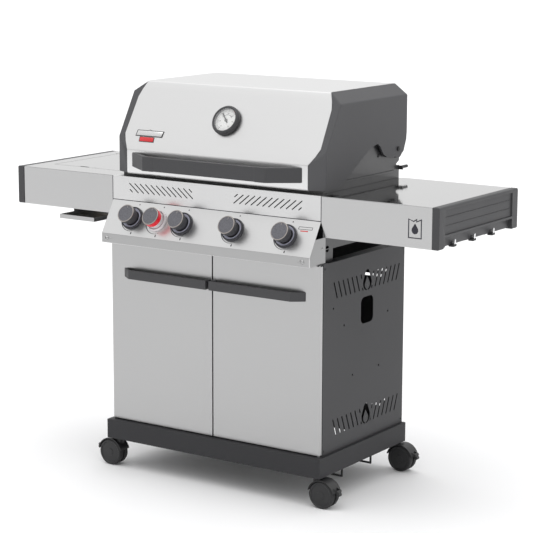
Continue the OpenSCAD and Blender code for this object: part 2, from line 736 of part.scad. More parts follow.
// ---------------------------------------------------------------- lid
function lid_side(t, z0) = let (a = slope_a) [
    [lid_y + t, z0], [lid_y + t, crease_z - t * tan(a / 2)],
    [slope_top_y + t * (1 / cos(a) - tan(a)), lid_top - t],
    [lid_back_y - t, lid_top - t], [lid_back_y - t, z0]];
function lid_front(t, z0) = let (l = norm([bevel_w, bevel_h]), u = bevel_h / l, v = bevel_w / l,
    xt = steel_top_x - t * (1 - v) / u, zs = lid_top - bevel_h - t * (1 - u) / v) [
    [-lid_hw + t, z0], [-lid_hw + t, zs], [-xt, lid_top - t],
    [xt, lid_top - t], [lid_hw - t, zs], [lid_hw - t, z0]];
function lid_plan(t) = let (l = norm([corner_w, corner_d]), u = corner_d / l, v = corner_w / l,
    xf = steel_low_x - t * (1 - v) / u, ys = lid_y + corner_d + t * (1 - u) / v) [
    [-xf, lid_y + t], [xf, lid_y + t], [lid_hw - t, ys], [lid_hw - t, lid_back_y - t],
    [-lid_hw + t, lid_back_y - t], [-lid_hw + t, ys]];
module lid_volume(t, z0) {
    intersection() {
        along_x(-lid_hw - 1, lid_hw + 1) polygon(lid_side(t, z0));
        along_y(lid_y - 1, lid_back_y + 1) polygon(lid_front(t, z0 - 1));
        along_z(z0 - 1, lid_top + 1) polygon(lid_plan(t));
    }
}
// Front view of the steel part of the lid, grown by g
module steel_outline(g) {
    pts = [[steel_top_x + g, lid_top + 1], [steel_top_x + g, lid_top],
           [steel_wide_x - 4 + g, lid_top - 38], [steel_wide_x + g, crease_z + 37],
           [steel_low_x + g, crease_z], [steel_low_x + g, lid_z - 9]];
    polygon([for (i = [0:5]) pts[i], for (i = [5:-1:0]) [-pts[i][0], pts[i][1]]]);
}
module lid_skin() {
    color(steel) difference() {
        intersection() {
            union() {
                difference() {
                    lid_volume(0, lid_z);
                    lid_volume(skin_t, lid_z - 5);
                }
                block([-steel_low_x, lid_y, lid_z], [steel_low_x, lid_y + 10, lid_z + skin_t]);
            }
            along_y(lid_y - 1, lid_back_y + 1) steel_outline(0);
        }
        block([-lid_hw, lid_y + 30, lid_z - 1], [lid_hw, lid_back_y + 1, back_edge_z]);
        on_slope(thermo_x, thermo_s) translate([0, 0, -8]) cylinder(h = 16, r = 6);
    }
}
module casting_profile() {
    polygon([[lid_y, lid_edge_z], [hinge_y - 307, lid_edge_z], [hinge_y - 169, hinge_z + 6],
             [hinge_y - 134, hinge_z + 20], [hinge_y - 111, hinge_z + 25],
             [hinge_y - 96, hinge_z + 15], [hinge_y - 79, hinge_z - 8],
             [hinge_y - 60, hinge_z - 17], [hinge_y - 33, hinge_z - 22],
             [hinge_y + 20, hinge_z - 16], [hinge_y + 35, hinge_z - 6],
             [lid_back_y - 2.5, back_edge_z], [lid_back_y, hinge_z + 44], [lid_back_y, lid_top],
             [slope_top_y, lid_top], [lid_y, crease_z]]);
    translate([hinge_y, hinge_z]) circle(r = 26);
}
module lid_casting() {
    color(grey) difference() {
        intersection() {
            lid_volume(0, hinge_z - 80);
            along_x(0, lid_hw + 1) casting_profile();
        }
        lid_volume(casting_t, hinge_z - 90);
        difference() {
            along_y(lid_y - 1, lid_back_y + 1) steel_outline(seam);
            lid_volume(skin_t, hinge_z - 90);
        }
        along_y(lid_y - 1, lid_back_y + 1) steel_outline(-10);
        rod_x(fb_hw, lid_hw + 1, hinge_y, hinge_z, hinge_r + run_fit);
    }
}
module lid_pins() {
    color(steel) for (s = [false, true]) on_side(s) {
        rod_x(fb_in - 6, lid_hw + 1, hinge_y, hinge_z, hinge_r);
        rod_x(lid_hw + slip, lid_hw + 4, hinge_y, hinge_z, 6.5);
        rod_x(fb_in - 8, fb_in, hinge_y, hinge_z, 6.5);
        rod_y(shelf_x0 - stop_r - 2.5, fb_y1, fb_y1 + stop_l, stop_z, stop_r);
    }
}
module lid_handle() {
    y0 = lid_y - lid_handle_off;
    x1 = lid_hw - 62;
    h = lid_handle_h / 2;
    color(grey) {
        along_z(lid_handle_z - h + 0.7, lid_handle_z + h - 0.7)
            translate([-bar_hw - 5, y0 + 0.7]) square([2 * bar_hw + 10, lid_bar_t - 1.4]);
        for (s = [false, true]) on_side(s) along_z(lid_handle_z - h, lid_handle_z + h)
            polygon([[bar_hw, y0], [bar_hw + 36, y0], [x1, lid_y], [x1 - 20, lid_y],
                     [bar_hw + 30, y0 + lid_bar_t], [bar_hw, y0 + lid_bar_t]]);
    }
}
module thermometer_case() {
    r = thermo_d / 2;
    color(steel) on_slope(thermo_x, thermo_s) {
        rotate_extrude() polygon([[0, 0], [r - 3, 0], [r, 3], [r, thermo_h - 4],
            [r - 4, thermo_h], [r - 9, thermo_h], [r - 9, thermo_h - 1.5], [r - 7, thermo_h - 1.5],
            [r - 7, 5], [0, 5]]);
        translate([0, 0, 4]) cylinder(h = 5, r = 1.5);
        translate([0, 0, -60]) cylinder(h = 61, r = 4);
    }
}
module thermometer_needle() {
    color(black) on_slope(thermo_x, thermo_s) translate([0, 0, 7]) difference() {
        union() {
            cylinder(h = 1.5, r = 4);
            rotate(130) translate([-10, -1.5, 0]) cube([37, 3, 1]);
        }
        translate([0, 0, -1]) cylinder(h = 4, r = 1.5 + run_fit);
    }
}
module thermometer_glass() {
    color([0.85, 0.9, 0.92]) on_slope(thermo_x, thermo_s)
        translate([0, 0, thermo_h - 3.3]) cylinder(h = 1.8, r = thermo_d / 2 - 7.3);
}
module lid_badge() {
    color(grey) on_slope(-badge_x, badge_s)
        translate([-49, -19.5, 0]) cube([98, 39, 1.5]);
}

// ---------------------------------------------------------------- shelves
module shelf() {
    difference() {
        union() {
            difference() {
                block([shelf_x0, 0, shelf_z - shelf_h], [shelf_x1, shelf_d, shelf_z]);
                block([shelf_x0 + sheet, sheet, shelf_z - shelf_h - 1],
                      [shelf_x1 - sheet, shelf_d - sheet, shelf_z - cover_t]);
            }
            block([fb_hw + 2, fb_y0 + 2, shelf_z - cover_t],
                  [shelf_x0 + 1, fb_y1 - firebox_t - 1, shelf_z]);
        }
        along_y(-1, shelf_d + 1) polygon([[shelf_x0 - 1, shelf_z - shelf_h - 1],
            [shelf_x0 + 12, shelf_z - shelf_h - 1], [shelf_x0 - 1, shelf_z - shelf_h + 42]]);
    }
}
module shelf_right() { color(steel) shelf(); }
module shelf_left() {
    hx = cover_l / 2 + cover_gap;
    color(steel) on_side(true) difference() {
        shelf();
        block([cover_x - hx, cover_y0 - cover_gap, shelf_z - 5],
              [cover_x + hx, cover_y1 + cover_gap, shelf_z + 1]);
        block([cover_x - hx - 6, roll_y - 3, shelf_z - 5], [cover_x + hx + 6, roll_y + 3, shelf_z + 1]);
        rod_x(shelf_x0 - 1, shelf_x0 + 5, 20, side_pipe_z, 8);
    }
}
module cap_profile() {
    square([cap_t - 5, shelf_h]);
    translate([0, 5]) square([cap_t, shelf_h - 10]);
    for (z = [5, shelf_h - 5]) translate([cap_t - 5, z]) circle(r = 5);
}
module shelf_cap() {
    color(grey) difference() {
        along_y(-1, shelf_d + 1) translate([shelf_x1, shelf_z - shelf_h]) cap_profile();
        block([shelf_x1 - 1, 24, shelf_z - shelf_h - 1],
              [cap_x1 + 1, shelf_d - 24, shelf_z - shelf_h + 5]);
        block([cap_x1 - 4, 30, shelf_z - shelf_h + hook_zone], [cap_x1 + 1, shelf_d - 30, shelf_z - 9]);
        block([cap_x1 - 11, 30, shelf_z - shelf_h - 1],
              [cap_x1 + 1, shelf_d - 30, shelf_z - shelf_h + hook_zone - 6]);
        block([shelf_x1 - 1, 4, shelf_z - shelf_h + hook_zone], [cap_x1 - 8, shelf_d - 4, shelf_z - 4]);
        block([shelf_x1 - 1, 4, shelf_z - shelf_h + 9],
              [cap_x1 - 14, shelf_d - 4, shelf_z - shelf_h + hook_zone + 1]);
    }
}
module tool_hooks() {
    x = cap_x1 - 11;
    z = shelf_z - shelf_h + 5;
    color(steel) for (y = hook_y) {
        block([x - 7, y - 9, z - 7], [x + 9, y + 9, z]);
        rod_z(x + 8, y, z - 1, z + 11, 2.4);
        translate([x + 8, y, z + 11]) sphere(r = 2.6);
    }
}

// ---------------------------------------------------------------- side burner
module side_burner_cover() {
    hx = cover_l / 2;
    color(steel) on_side(true) difference() {
        union() {
            block([cover_x - hx, cover_y0, shelf_z - cover_t], [cover_x + hx, roll_y, shelf_z]);
            rod_x(cover_x - hx, cover_x + hx, roll_y, roll_z, roll_r);
            rod_x(cover_x - hx - 5, cover_x + hx + 5, roll_y, roll_z, 2);
            block([cover_x - hx, cover_y0, shelf_z - 7], [cover_x + hx, cover_y0 + 1, shelf_z - 1]);
            for (s = [-1, 1]) block([cover_x + s * (hx - 0.5) - 0.5, cover_y0, shelf_z - 7],
                                    [cover_x + s * (hx - 0.5) + 0.5, roll_y - 12, shelf_z - 1]);
        }
        block([cover_x - 5, cover_y0 + 3, shelf_z - 8], [cover_x + 28, cover_y0 + 10, shelf_z + 1]);
        rod_z(cover_x - 29, cover_y0 + 6, shelf_z - 8, shelf_z + 1, 2);
    }
}
module side_burner_pan() {
    hx = cover_l / 2 + cover_gap;
    z0 = shelf_z - pan_deep;
    z1 = shelf_z - cover_t;
    y0 = cover_y0 - cover_gap;
    y1 = cover_y1 + cover_gap;
    color(steel) on_side(true) difference() {
        union() {
            block([cover_x - hx - 1.5, y0 - 1.5, z0], [cover_x + hx + 1.5, y1 + 1.5, z1]);
            block([cover_x - hx - 9, y0 - 9, z1 - 1.5], [cover_x + hx + 9, y1 + 9, z1]);
            for (s = [-1, 1]) block([cover_x + s * (hx + 2.5) - 2.5, roll_y - 7, roll_z - 7],
                                    [cover_x + s * (hx + 2.5) + 2.5, roll_y + 6, z1]);
            chute();
        }
        block([cover_x - hx, y0, z0 + 1.5], [cover_x + hx, y1, z1 + 1]);
        rod_x(cover_x - hx - 10, cover_x + hx + 10, roll_y, roll_z, 2 + run_fit);
        rod_z(chute_x, chute_y0 + 90, z0 - 1, z0 + 3, 8);
        rod_z(cover_x, cover_y0 + cover_d / 2, z0 - 1, z0 + 3, spud_r + 1);
    }
}
module chute() {
    for (s = [-1, 1]) along_y(chute_y0, chute_y1) translate([chute_x, drip_z])
        polygon([[s * (chute_hw - 9), -2.5], [s * chute_hw, -2.5],
                 [s * chute_hw, shelf_z - pan_deep - drip_z + 0.5],
                 [s * (chute_hw - sheet), shelf_z - pan_deep - drip_z + 0.5],
                 [s * (chute_hw - sheet), -slip], [s * (chute_hw - 9), -slip]]);
}
module side_burner_head() {
    y = cover_y0 + cover_d / 2;
    z = shelf_z - pan_deep + 1.5;
    color(iron) translate([-cover_x, y, z]) {
        difference() {
            union() {
                cylinder(h = 12, r = 38);
                translate([0, 0, 11]) cylinder(h = 7, r = 45);
            }
            translate([0, 0, -1]) cylinder(h = 8, r = 30);
        }
        for (a = [0, 90, 180, 270]) rotate(a) {
            translate([20, -3, 26]) cube([85, 6, 9]);
            translate([99, -3, 0]) cube([6, 6, 30]);
        }
        for (a = [0, 90]) rotate(a) for (s = [-1, 1])
            translate([s * 102 - 3, -102, 26]) cube([6, 204, 5]);
    }
}
module drip_tray() {
    color(steel) on_side(true) {
        difference() {
            block([chute_x - drip_hw, drip_y0 + 1, drip_z], [chute_x + drip_hw, chute_y1, drip_z + drip_h]);
            block([chute_x - drip_hw + 1.2, drip_y0 + 2.2, drip_z + 1.2],
                  [chute_x + drip_hw - 1.2, chute_y1 - 1.2, drip_z + drip_h + 1]);
        }
        block([chute_x - drip_hw, drip_y0, drip_z], [chute_x + drip_hw, drip_y0 + 1.5, drip_z + drip_h]);
    }
}

place() base_frame();
place() bottle_cradle();
place() on_side(true) cabinet_side();  // cabinet_side_left
place() cabinet_side();  // cabinet_side_right
place() cabinet_back();
place() front_frame();
place() firebox();
place() burners();
place() flame_covers();
place() cooking_grates();
place() warming_rack();
place() grease_tray();
place() vent_panel();
place() control_panel();
place() knob_bezels();
place() gas_manifold();
place() knob_stem(knob_steps[0]);  // knob_stem_1
place() knob_stem(knob_steps[1]);  // knob_stem_2
place() knob_stem(knob_steps[2]);  // knob_stem_3
place() knob_stem(knob_steps[3]);  // knob_stem_4
place() knob_stem(knob_steps[4]);  // knob_stem_5
place() knob(knob_steps[0]);  // knob_1
place() knob(knob_steps[1]);  // knob_2
place() knob(knob_steps[2]);  // knob_3
place() knob(knob_steps[3]);  // knob_4
place() knob(knob_steps[4]);  // knob_5
place() lid_skin();
place() on_side(true) lid_casting();  // lid_casting_left
place() lid_casting();  // lid_casting_right
place() lid_handle();
place() thermometer_case();
place() thermometer_needle();
place() thermometer_glass();
place() lid_badge();
place() lid_pins();
place() on_side(true) door();  // door_left
place() door();  // door_right
place() on_side(true) door_handle();  // door_handle_left
place() door_handle();  // door_handle_right
place() shelf_left();
place() shelf_right();
place() on_side(true) shelf_cap();  // shelf_cap_left
place() shelf_cap();  // shelf_cap_right
place() tool_hooks();
place() side_burner_cover();
place() side_burner_pan();
place() side_burner_head();
place() drip_tray();
place() caster_place(true, false) caster_hood();  // caster_hood_fl
place() caster_place(false, false) caster_hood();  // caster_hood_fr
place() caster_place(true, true) caster_hood();  // caster_hood_rl
place() caster_place(false, true) caster_hood();  // caster_hood_rr
place() caster_place(true, false) caster_wheels();  // caster_wheels_fl
place() caster_place(false, false) caster_wheels();  // caster_wheels_fr
place() caster_place(true, true) caster_wheels();  // caster_wheels_rl
place() caster_place(false, true) caster_wheels();  // caster_wheels_rr
place() caster_place(true, false) caster_pedal();  // caster_pedal_fl
place() caster_place(false, false) caster_pedal();  // caster_pedal_fr
place() caster_place(true, true) caster_pedal();  // caster_pedal_rl
place() caster_place(false, true) caster_pedal();  // caster_pedal_rr
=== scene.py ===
"""Looks of a gas barbecue on a cart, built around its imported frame.

Lengths inside the pieces are millimetres measured from three planes of the frame: x = 0 is the
cart's middle, y = 0 the front face of the slotted panel and z = 0 the ground. Shape.piece() turns
them into metres in the frame's own axes.
"""
import math

import bmesh
import bpy
from mathutils import Matrix, Vector


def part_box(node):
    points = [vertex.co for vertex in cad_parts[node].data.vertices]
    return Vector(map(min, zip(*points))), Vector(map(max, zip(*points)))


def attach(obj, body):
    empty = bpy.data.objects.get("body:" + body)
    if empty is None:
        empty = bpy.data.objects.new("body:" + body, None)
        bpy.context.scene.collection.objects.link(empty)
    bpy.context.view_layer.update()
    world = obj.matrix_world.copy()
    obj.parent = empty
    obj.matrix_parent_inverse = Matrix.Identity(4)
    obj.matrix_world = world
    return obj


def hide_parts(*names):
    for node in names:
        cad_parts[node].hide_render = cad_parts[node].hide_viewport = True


bl_info = {
    "name": "Gas barbecue looks",
    "version": (1, 0, 0),
    "blender": (4, 5, 0),
    "location": "3D View > Sidebar > Barbecue",
    "description": "Builds the visible pieces and finishes of a gas barbecue around its frame",
    "category": "Object",
}

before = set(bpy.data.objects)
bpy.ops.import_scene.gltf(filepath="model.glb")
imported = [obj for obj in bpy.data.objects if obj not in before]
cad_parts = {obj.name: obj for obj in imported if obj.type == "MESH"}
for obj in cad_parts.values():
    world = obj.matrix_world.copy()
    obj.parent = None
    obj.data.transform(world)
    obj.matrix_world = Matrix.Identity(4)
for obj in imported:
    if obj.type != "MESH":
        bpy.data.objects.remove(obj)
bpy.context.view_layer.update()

MM = 0.001
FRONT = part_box("vent_panel")[0].y
TO_METRES = Matrix.Translation((0, FRONT, 0)) @ Matrix.Diagonal((MM, MM, MM, 1))


def box_mm(node):
    """Lowest and highest corner of a CAD node in this file's millimetres."""
    back = TO_METRES.inverted()
    low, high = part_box(node)
    return back @ low, back @ high


SHELF_Z = box_mm("vent_panel")[1].z
VENT_Z = box_mm("vent_panel")[0].z
PANEL_HW = box_mm("vent_panel")[1].x
LID_LOW, LID_HIGH = box_mm("lid_skin")
CASTING_HW = box_mm("lid_casting_right")[1].x
DOOR_LOW, DOOR_HIGH = box_mm("door_right")
KNOB_PITCH = (box_mm("knob_stem_5")[0].x + box_mm("knob_stem_5")[1].x) / 6
KNOB_STEPS = (-3, -2, -1, 1, 3)   # places of the knobs, in pitches from the middle
LIT_KNOB = 2
INK = 0.15                # height of printed marks


# ------------------------------------------------------------------ properties
def colour(name, about, rgb):
    """A colour property with a name and a description."""
    return bpy.props.FloatVectorProperty(
        name=name, description=about, default=rgb, subtype="COLOR", size=3, min=0, max=1)


def length(name, about, mm):
    """A length property; its default is given in millimetres."""
    return bpy.props.FloatProperty(
        name=name, description=about, default=mm * MM, subtype="DISTANCE", unit="LENGTH", min=0)


def share(name, about, value):
    """A property between 0 and 1."""
    return bpy.props.FloatProperty(
        name=name, description=about, default=value, subtype="FACTOR", min=0, max=1)


class BarbecueColours(bpy.types.PropertyGroup):
    """Colours and gloss of the barbecue's finishes."""
    steel: colour("Stainless", "Colour of the brushed sheets", (0.78, 0.78, 0.78))
    steel_gloss: share("Stainless roughness", "Roughness of the brushed stainless sheets", 0.3)
    casting: colour("Casting coat", "Colour of the lid castings' coat", (0.082, 0.082, 0.086))
    powder: colour("Powder coat", "Colour of the cabinet's coat", (0.058, 0.058, 0.061))
    base: colour("Base coat", "Colour of the base's coat", (0.03, 0.03, 0.0325))
    trim: colour("Trim plastic", "Colour of the shelf caps and handles", (0.040, 0.040, 0.043))
    knob: colour("Knob face", "Colour of the knobs' textured faces", (0.125, 0.125, 0.14))
    ring: colour("Ring", "Colour of the light ring inside each bezel", (0.56, 0.57, 0.68))
    lit: colour("Lit ring", "Colour of the lit ring on the second knob", (0.62, 0.006, 0.02))
    black: colour("Black plastic", "Colour of casters and small fittings", (0.014, 0.014, 0.015))
    enamel: colour("Enamel", "Colour of the firebox's enamel", (0.035, 0.035, 0.037))


class BarbecueSizes(bpy.types.PropertyGroup):
    """Sizes of the details that are added to the frame's own shapes."""
    crease: length("Lid crease", "Height of the lid's crease over its lower edge", 71)
    slope: length("Lid slope", "Depth of the lid's slope", 108)
    bend: length("Bend radius", "Radius of the bends in the lid's sheet", 9)
    casting_round: length("Casting edges", "Rounding of the lid castings' edges", 3.2)
    sheet_round: length("Sheet edges", "Rounding of the folded sheets' edges", 1.4)
    tilt_run: length("Panel lean", "How far the control panel leans out at its foot", 54)
    tilt_drop: length("Panel drop", "Height of the leaning part of the control panel", 90)


class BarbecueStage(bpy.types.PropertyGroup):
    """Camera and light."""
    lens: bpy.props.FloatProperty(
        name="Lens", description="Focal length for a 36 mm sensor", default=125.25, unit="CAMERA")
    azimuth: bpy.props.FloatProperty(
        name="Azimuth", description="Camera's direction round the barbecue",
        default=math.radians(34.252), subtype="ANGLE", unit="ROTATION")
    elevation: bpy.props.FloatProperty(
        name="Elevation", description="Camera's angle above the horizon",
        default=math.radians(10.733), subtype="ANGLE", unit="ROTATION")
    roll: bpy.props.FloatProperty(
        name="Roll", description="Camera's roll", default=math.radians(0.14),
        subtype="ANGLE", unit="ROTATION")
    distance: bpy.props.FloatProperty(
        name="Distance", description="Distance of the camera from its target",
        default=5.4967, subtype="DISTANCE", unit="LENGTH")
    dome: bpy.props.FloatProperty(
        name="Dome", description="Strength of the light all round", default=1.2, min=0)
    floor: colour("Floor", "Colour of the floor", (0.93, 0.93, 0.935))


# ------------------------------------------------------------------ shader helpers
class Value:
    """A socket that carries a number; Python's operators on it add Math nodes."""

    def __init__(self, finish, socket):
        self.finish = finish
        self.socket = socket

    def _math(self, operation, first, second=None):
        sockets = {0: first} if second is None else {0: first, 1: second}
        return self.finish.node("ShaderNodeMath", {"operation": operation}, sockets, 0)

    def __add__(self, other):
        return self._math("ADD", self, other)

    def __radd__(self, other):
        return self._math("ADD", other, self)

    def __sub__(self, other):
        return self._math("SUBTRACT", self, other)

    def __rsub__(self, other):
        return self._math("SUBTRACT", other, self)

    def __mul__(self, other):
        return self._math("MULTIPLY", self, other)

    def __rmul__(self, other):
        return self._math("MULTIPLY", other, self)


class Finish:
    """Builds the nodes of one material or of the world."""

    def __init__(self, tree):
        self.tree = tree

    def node(self, kind, settings=None, sockets=None, output=0):
        """Adds a node: settings first, then its sockets' values or links; returns one output."""
        made = self.tree.nodes.new(kind)
        for key, value in (settings or {}).items():
            if key == "stops":
                ramp = made.color_ramp
                while len(ramp.elements) < len(value):
                    ramp.elements.new(0.5)
                for element, (place, rgb) in zip(ramp.elements, value):
                    element.position = place
                    element.color = (*rgb, 1) if isinstance(rgb, tuple) else (rgb, rgb, rgb, 1)
            else:
                setattr(made, key, value)
        for key, value in (sockets or {}).items():
            if isinstance(value, Value):
                self.tree.links.new(value.socket, made.inputs[key])
            elif isinstance(value, tuple) and len(value) == 3 and made.inputs[key].type == "RGBA":
                made.inputs[key].default_value = (*value, 1)
            else:
                made.inputs[key].default_value = value
        return Value(self, made.outputs[output]) if made.outputs else made

    def place(self, stretch=(1, 1, 1)):
        """Object coordinates, stretched by a factor along each axis."""
        where = self.node("ShaderNodeTexCoord", output="Object")
        return self.node("ShaderNodeMapping", {"vector_type": "POINT"},
                         {"Vector": where, "Scale": stretch})

    def noise(self, scale, detail=2.0, rough=0.5, stretch=(1, 1, 1)):
        """Noise between 0 and 1 over the piece."""
        return self.node("ShaderNodeTexNoise", {}, {
            "Vector": self.place(stretch), "Scale": scale, "Detail": detail, "Roughness": rough})

    def ramp(self, value, stops):
        """A colour ramp over a value."""
        return self.node("ShaderNodeValToRGB", {"stops": stops}, {"Fac": value})

    def blend(self, factor, first, second):
        """Mixes two colours."""
        return self.node("ShaderNodeMix", {"data_type": "RGBA"},
                         {0: factor, 6: first, 7: second}, 2)

    def bump(self, height, strength, distance):
        """A normal from a height."""
        return self.node("ShaderNodeBump", {}, {
            "Height": height, "Strength": strength, "Distance": distance})


def scaled(rgb, by):
    """A colour made lighter or darker."""
    return tuple(min(1.0, c * by) for c in rgb)


FINISHES = {}


def finish(name, build):
    """The material of that name, made once."""
    if name not in FINISHES:
        material = bpy.data.materials.new(name)
        material.use_nodes = True
        tree = material.node_tree
        tree.nodes.clear()
        maker = Finish(tree)
        sockets = build(maker)
        surface = maker.node("ShaderNodeBsdfPrincipled", {}, sockets)
        maker.node("ShaderNodeOutputMaterial", {}, {"Surface": surface})
        FINISHES[name] = material
    return FINISHES[name]


def brushed(name, rgb, rough, along, fine=1.0):
    """Brushed stainless with its grain along x, y or z."""
    stretch = tuple(0.012 if axis == along else 1.0 for axis in "xyz")

    def build(f):
        grain = f.noise(900 * fine, 2, 0.6, stretch)
        cloud = f.noise(3.2, 3, 0.5)
        tone = f.blend(grain, scaled(rgb, 0.975), scaled(rgb, 1.02))
        return {
            "Base Color": f.blend(cloud * 0.5, tone, scaled(rgb, 0.98)),
            "Metallic": 1.0,
            "Roughness": rough - 0.035 + grain * 0.05 + cloud * 0.03,
            "Normal": f.bump(grain, 0.02, 0.0001),
        }
    return finish(name, build)


def coated(name, rgb, rough, size=1500, depth=0.25, metallic=0.0, coat=0.0):
    """Powder coat: a fine orange peel over a flat colour."""
    def build(f):
        peel = f.noise(size, 2, 0.55)
        cloud = f.noise(6, 2, 0.5)
        return {
            "Base Color": f.blend(peel, scaled(rgb, 0.93), scaled(rgb, 1.08)),
            "Metallic": metallic,
            "Roughness": rough - 0.04 + cloud * 0.06 + peel * 0.03,
            "Specular IOR Level": 0.25,
            "Coat Weight": coat,
            "Normal": f.bump(peel, depth, 0.0003),
        }
    return finish(name, build)


def moulded(name, rgb, rough, grain=900, depth=0.2):
    """Moulded plastic with a fine spark-eroded grain."""
    def build(f):
        pits = f.node("ShaderNodeTexVoronoi", {"feature": "F1"},
                      {"Vector": f.place(), "Scale": grain}, "Distance")
        cloud = f.noise(9, 2, 0.5)
        return {
            "Base Color": f.blend(pits, scaled(rgb, 0.9), scaled(rgb, 1.1)),
            "Roughness": rough - 0.04 + cloud * 0.08,
            "Normal": f.bump(pits, depth, 0.0003),
        }
    return finish(name, build)


def props():
    """The three property groups."""
    scene = bpy.context.scene
    return scene.barbecue_colours, scene.barbecue_sizes, scene.barbecue_stage


def steel(place="door"):
    """Brushed stainless of the outer sheets; each place has its share of the lid's tone, which is
    painted light and shade: lit and shaded copies of one stainless.
    """
    c = props()[0]
    # Painted light and shade: the same stainless in lighter and darker copies per place, darkest on
    # the panel's lip and cheeks.
    tone, gloss = {"lid": (0.9, 0.0), "panel": (0.84, 0.0), "panel_foot": (0.5, 0.0),
                   "cheek": (0.4, 0.0), "vent": (0.8, 0.0), "door": (0.57, 0.0),
                   "shelf": (0.56, 0.24), "shelf_front": (0.6, 0.1), "bright": (0.85, 0.1)}[place]
    return brushed(f"brushed_stainless_{place}", scaled(c.steel, tone), c.steel_gloss - gloss, "x")


def painted_light_by_facing(piece, *rules):
    """Gives the faces that look along a direction the material of that number, a lighter or darker
    copy as painted shade.
    """
    for face in piece.data.polygons:
        for number, direction in rules:
            if face.normal.dot(Vector(direction)) > 0.95:
                face.material_index = number
    return piece


def powder(place="powder"):
    """Powder coat of the cabinet, the lid's castings or the base."""
    return coated(f"dark_grey_{place}", tuple(getattr(props()[0], place)), 0.52)


def trim():
    return moulded("dark_grey_trim", tuple(props()[0].trim), 0.5)


def black():
    return moulded("black_nylon", tuple(props()[0].black), 0.42)


def chrome():
    def build(f):
        haze = f.noise(60, 3)
        return {"Base Color": f.blend(haze, (0.80, 0.80, 0.81), (0.88, 0.88, 0.89)),
                "Metallic": 1.0, "Roughness": 0.08 + haze * 0.08}
    return finish("bright_chrome", build)


def enamel():
    def build(f):
        peel = f.noise(420, 2)
        rgb = tuple(props()[0].enamel)
        return {"Base Color": f.blend(f.noise(30, 3), scaled(rgb, 0.8), scaled(rgb, 1.3)),
                "Roughness": 0.32 + peel * 0.1, "Coat Weight": 0.3,
                "Normal": f.bump(peel, 0.2, 0.0004)}
    return finish("black_enamel", build)


def iron():
    def build(f):
        sand = f.noise(900, 4, 0.65)
        return {"Base Color": f.blend(sand, (0.018, 0.018, 0.019), (0.05, 0.049, 0.048)),
                "Roughness": 0.55 + sand * 0.2, "Normal": f.bump(sand, 0.5, 0.0006)}
    return finish("matt_cast_iron", build)


def brass():
    def build(f):
        lines = f.noise(700, 2, 0.5, (1, 0.05, 0.05))
        return {"Base Color": f.blend(lines, (0.50, 0.36, 0.15), (0.68, 0.51, 0.24)),
                "Metallic": 1.0, "Roughness": 0.28 + lines * 0.15}
    return finish("turned_brass", build)


def zinc():
    def build(f):
        return {"Base Color": f.blend(f.noise(55, 4), (0.46, 0.47, 0.48), (0.62, 0.63, 0.64)),
                "Metallic": 1.0, "Roughness": 0.42 + f.noise(40, 3) * 0.12}
    return finish("galvanised_sheet", build)


# ------------------------------------------------------------------ mesh helpers
def dress(node, material):
    """Gives a CAD node's object a better material."""
    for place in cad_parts[node].material_slots:
        place.material = material


